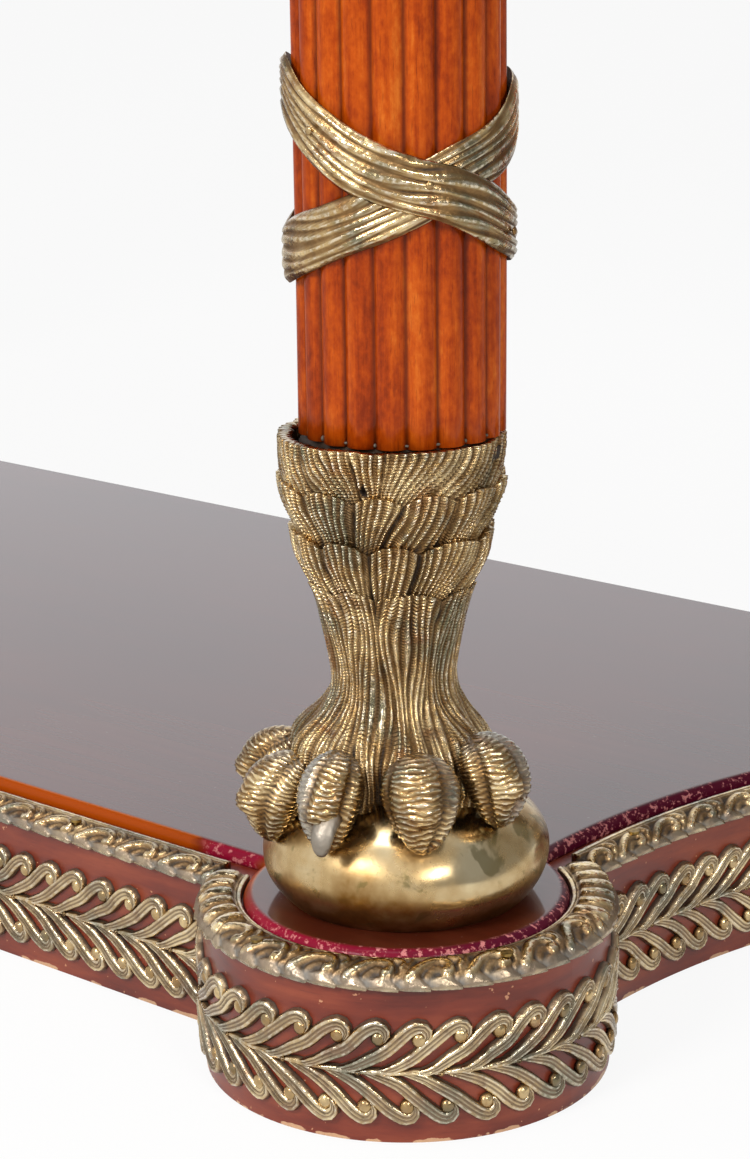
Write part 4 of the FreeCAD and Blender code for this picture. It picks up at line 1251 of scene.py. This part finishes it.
def scrollRelief(along, down):
    relief = 1.3 * np.clip(1 - ((down - 0.9) / 0.7) ** 2, 0, 1) ** 0.5
    for line, half, height in scrollStrokes:
        relief = np.maximum(relief, strokeHeight(along, down, line, half, height))
    lobe = lobeShare(along - 1.4 * (down - 7))
    upper = 8.6 - 1.6 * lobe
    tooth = 1.6 * smoothStep(down, upper, upper + 0.9) * (0.25 + 0.75 * np.sin(math.pi * lobe ** 1.6) ** 0.5)
    return np.maximum(relief, tooth) - moulding["relief"]


def barRelief(along, down):
    bars = 2.1 * ridge(along / moulding["barUnit"] + 0.1 * np.sin(0.5 * down), 2.0)
    bars = bars * smoothStep(down, 0.2, 1.6) * (1 - 0.5 * smoothStep(down, 8.4, 9.0))
    return np.where(down > 9.0, 0.9, bars) - moulding["barRelief"]


def everyRow(values, count):
    return np.repeat(np.array(values, float)[None], count, axis=0)


def mouldingUnit(length, columns, relief, flange, roll):
    roll = curveThrough(moulding[roll], moulding["rollSteps"])
    slope = np.gradient(roll, axis=0)
    slope /= np.linalg.norm(slope, axis=1, keepdims=True)
    run = np.concatenate(([0], np.cumsum(np.linalg.norm(np.diff(roll, axis=0), axis=1))))
    run = run / run[-1] * moulding["rollLength"]
    along = np.linspace(0, length, columns)
    grid, down = np.meshgrid(along, run, indexing="ij")
    wave = grid * 2 * math.pi / length
    rough = 0.12 * np.sin(9 * wave + 3 * down) * np.sin(14 * wave - 2 * down)
    rise = relief(grid, down) + rough
    faded = smoothStep(down, 0.0, 0.8)
    outward = roll[:, 0] - slope[:, 1] * rise * faded
    height = roll[:, 1] + slope[:, 0] * rise * faded
    before, after = everyRow(moulding[flange], columns), everyRow(moulding["lip"], columns)
    after[:, :2, 0] += 0.5 - moulding["scallop"] * (1 - lobeShare(along - 4.8) ** 0.6)[:, None]
    section = np.concatenate((before, np.stack((outward, height), axis=-1), after), axis=1)
    x = np.broadcast_to(along[:, None], section.shape[:2])
    points = np.stack((x, section[..., 0], section[..., 1]), axis=-1) * mm
    flangeHollow, lipHollow, flangeWorn, lipWornAndHighlight = (
        everyRow(moulding[name], columns) for name in ("flangeHollow", "lipHollow", "flangeWorn", "lipWornAndHighlight"))
    # painted shade on the sunk ground and the low relief
    shade = np.clip(0.75 - rise * 0.52, 0, 0.95) * faded
    # silver wear on the lower lobes, which also paints their highlight
    rubbed = 0.05 + smoothStep(down, 8.0, 9.2) * 0.3
    return gridPart(points, hollow=np.hstack((flangeHollow, shade, lipHollow)),
                    worn=np.hstack((flangeWorn, rubbed, lipWornAndHighlight)))


scrolls = (moulding["unit"], moulding["columns"], scrollRelief)
bars = (moulding["barUnit"], moulding["barColumns"], barRelief)
scrollPiece = hiddenUnit("scroll unit", mouldingUnit(*scrolls, "flange", "roll"))
drumPiece = hiddenUnit("drum scroll unit", mouldingUnit(*scrolls, "drumFlange", "drumRoll"))
barPiece = hiddenUnit("bar unit", mouldingUnit(*bars, "drumFlange", "drumRoll"))
for stretch, points in outlineStretches(0, 0).items():
    long = pathLength(points)
    path = pathCurve(points, plinthTop)
    if stretch.startswith("drum_"):
        reach = moulding["barReach"]
        meshes = laidTrim(path, drumPiece, moulding["unit"] * mm, [(reach, long - reach)])
        meshes += laidTrim(path, barPiece, moulding["barUnit"] * mm, [(0.0, reach), (long - reach, long)])
    else:
        meshes = laidTrim(path, scrollPiece, moulding["unit"] * mm, [(0.0, long)])
    piece = mergedObject("edge_" + stretch, meshes)
    settle(piece, "gilt_bronze", "plinth_moulding_" + stretch)
    bpy.data.objects.remove(path)
for unit in (scrollPiece, drumPiece, barPiece):
    bpy.data.objects.remove(unit)
print("edge mouldings")


# Raised panel inside the moulding, with a rounded edge
panel = {
    "inset": 17.7 * mm,
    "drumInset": 15 * mm,
    "round": 4.0 * mm,
    "steps": 8,
    "flatRows": (0.6 * mm, 1.5 * mm),    # rows on the flat top just inside the rounded edge
    # crimson tinge round the disc: degrees from straight out to the side, and strength
    "tinge": ((-180, 0.1), (-150, 0.15), (-118, 0.55), (-60, 0.7), (0, 0.95), (90, 1.0)),
    "railTinge": 0.6,
    "railReach": (22 * mm, 14 * mm),     # the rail's tinge fades in between these distances from the drum
}


def loftedOutline(levels):
    # each level has its distances outward and in from the back, its height and its marks
    rows, marks = [], {}
    for out, drumOut, backIn, height, levelMarks in levels:
        loop = closedOutline(out, drumOut, backIn)
        rows.append(np.column_stack((loop, np.full(len(loop), height))))
        for name, value in levelMarks.items():
            marks.setdefault(name, []).append(value(loop) if callable(value) else np.full(len(loop), value))
    return gridPart(np.array(rows), **{name: np.array(values) for name, values in marks.items()})


def crimsonTinge(loop):
    # from 0, orange, to 1, dark crimson: orange along the front, crimson near the corners, dark on the sides
    x, y = np.abs(loop[:, 0]) - frontDrum.x, loop[:, 1] - frontDrum.y
    away = np.hypot(x, y) - drumRadius + panel["drumInset"]
    disc = np.interp(np.degrees(np.arctan2(y, x)), *zip(*panel["tinge"]))
    far, near = panel["railReach"]
    rail = panel["railTinge"] * smoothStep(x, -drumRadius - far, -drumRadius - near)
    side = (x > -drumRadius) & (y > 0)
    return np.where(away < 1 * mm, disc, np.where(side, 1.0, rail))


def panelLevel(sunk, height, edge, backIn=0.0, crimson=crimsonTinge):
    marks = {"edge": edge, "crimson": crimson}
    return -panel["inset"] - sunk, -panel["drumInset"] - sunk, backIn, height, marks


panelLevels = [panelLevel(0.0, plinthTop, 1.0)]
for i in range(panel["steps"] + 1):
    share = i / panel["steps"]
    turn = math.pi / 2 * share
    sunk, drop = panel["round"] * (1 - math.cos(turn)), panel["round"] * (1 - math.sin(turn))
    panelLevels.append(panelLevel(sunk, panelTop - drop, 1 - smoothStep(share, 0.75, 1.0)))
for extra in panel["flatRows"]:
    panelLevels.append(panelLevel(panel["round"] + extra, panelTop, 0.0, extra, 0.0))
piece = makeObject("raised_panel", loftedOutline(panelLevels), panelWood, capLoops=True)
settle(piece, "panel_mahogany", "plinth_raised_panel")
print("raised panel")


# Marble slab with a thumb-moulded edge
slab = {
    "out": 14 * mm,
    # how far the edge steps back in mm, its height as a share of the thickness, and mm in from the back
    "edge": ((6.0, 0.0, 1.5), (3.0, 0.0, 0), (1.2, 0.03, 0), (0.3, 0.12, 0), (0.0, 0.26, 0), (0.2, 0.4, 0),
             (1.0, 0.53, 0), (2.4, 0.62, 0), (3.6, 0.66, 0), (3.9, 0.7, 0), (3.9, 0.84, 0), (4.2, 0.93, 0),
             (5.0, 0.985, 0), (6.2, 1.0, 0), (7.5, 1.0, 0), (9.0, 1.0, 1.5)),
}
slabLevels = []
for back, share, backIn in slab["edge"]:
    out = slab["out"] - back * mm
    slabLevels.append((out, out, backIn * mm, apronTop + share * (tableTop - apronTop), {}))
piece = makeObject("marble_slab", loftedOutline(slabLevels), marble, capLoops=True)
settle(piece, "marble", "marble_top")
print("marble slab")


# Stage: pale floor, plain studio light and the camera
stage = {
    "floorHalf": 6,             # half the width of the floor, in metres
    "floorColour": "#e9e7e4",
    # the floor glows by this much where the camera sees it and where metal mirrors it
    "floorSeen": 0.9,
    "floorMirrored": 0.55,
    "roomColour": (0.95, 0.965, 1, 1),
    "brightWay": (-0.9, -0.44, 0.0),
    # strength of the room's dark and bright side, as light and as a reflection, and as the camera sees it
    "roomLight": (0.31, 0.54),
    "roomMirror": (0.4, 1.1),
    "roomSeen": 1.06,
    # name, place, what it points at, width in metres and watts
    "lamps": (
        ("key", (0.35, -2.3, 1.7), (0.2, 0, 0.4), 0.7, 44),
        ("top", (0.35, -0.5, 2.3), (0.3, 0, 0.2), 0.7, 10),
        ("fill", (2.4, -1.0, 1.3), (0.4, 0, 0.4), 0.6, 20),
    ),
}
camera = {
    "lens": 86.93,
    "place": (1.08042, -0.88619, 0.45321),
    # degrees about each axis in turn
    "turns": (("Z", 39.827), ("X", 74.199), ("Z", -0.721)),
}


def makeFloor():
    mesh = bpy.data.meshes.new("floor")
    far = stage["floorHalf"]
    mesh.from_pydata([(-far, -far, 0), (far, -far, 0), (far, far, 0), (-far, far, 0)], [], [(0, 1, 2, 3)])
    material, node = newMaterial("paleFloor")
    diffuse = node("ShaderNodeBsdfDiffuse", Color=linear(stage["floorColour"]))
    glow = node("ShaderNodeEmission", Color=(1, 1, 1, 1), Strength=1.0)
    ray = node("ShaderNodeLightPath").node.outputs
    mirrored = node("multiply", ray["Is Glossy Ray"], stage["floorMirrored"])
    seen = node("maximum", node("multiply", ray["Is Camera Ray"], stage["floorSeen"]), mirrored)
    node("ShaderNodeOutputMaterial", Surface=node("ShaderNodeMixShader", seen, diffuse, glow))
    mesh.materials.append(material)
    linkedObject("floor", mesh)


def makeWorld():
    # a white room whose left side is brighter, so that metal has a light and a dark side
    world = bpy.data.worlds.new("studio")
    bpy.context.scene.world = world
    world.use_nodes = True
    world.node_tree.nodes.clear()
    node = partial(addNode, world.node_tree)
    ray = node("ShaderNodeLightPath").node.outputs
    towards = node("ShaderNodeTexCoord").node.outputs["Generated"]
    dot = {"operation": "DOT_PRODUCT"}
    side = node("range", node("ShaderNodeVectorMath", towards, stage["brightWay"], settings=dot), -0.95, 0.15)
    indirect = node("maximum", ray["Is Glossy Ray"], ray["Is Transmission Ray"])
    asLight = node("range", side, 0.0, 1.0, *stage["roomLight"])
    asMirror = node("range", side, 0.0, 1.0, *stage["roomMirror"])
    strength = node("ShaderNodeMix", indirect, asLight, asMirror)
    strength = node("maximum", strength, node("multiply", ray["Is Camera Ray"], stage["roomSeen"]))
    shade = node("ShaderNodeBackground", Color=stage["roomColour"], Strength=strength)
    node("ShaderNodeOutputWorld", Surface=shade)


def softLamp(name, place, towards, size, watts):
    lamp = bpy.data.lights.new(name, "AREA")
    lamp.size = size
    lamp.energy = watts
    holder = linkedObject(name, lamp)
    holder.location = place
    holder.rotation_euler = (Vector(towards) - Vector(place)).to_track_quat("-Z", "Y").to_euler()


lens = bpy.data.cameras.new("camera")
lens.lens = camera["lens"]
eye = linkedObject("camera", lens)
aim = Matrix.Identity(3)
for axis, degrees in camera["turns"]:
    aim = aim @ Matrix.Rotation(math.radians(degrees), 3, axis)
eye.location = camera["place"]
eye.rotation_euler = aim.to_euler()
bpy.context.scene.camera = eye
makeFloor()
makeWorld()
for lamp in stage["lamps"]:
    softLamp(*lamp)
bpy.context.scene.view_settings.view_transform = "Standard"
print("stage")
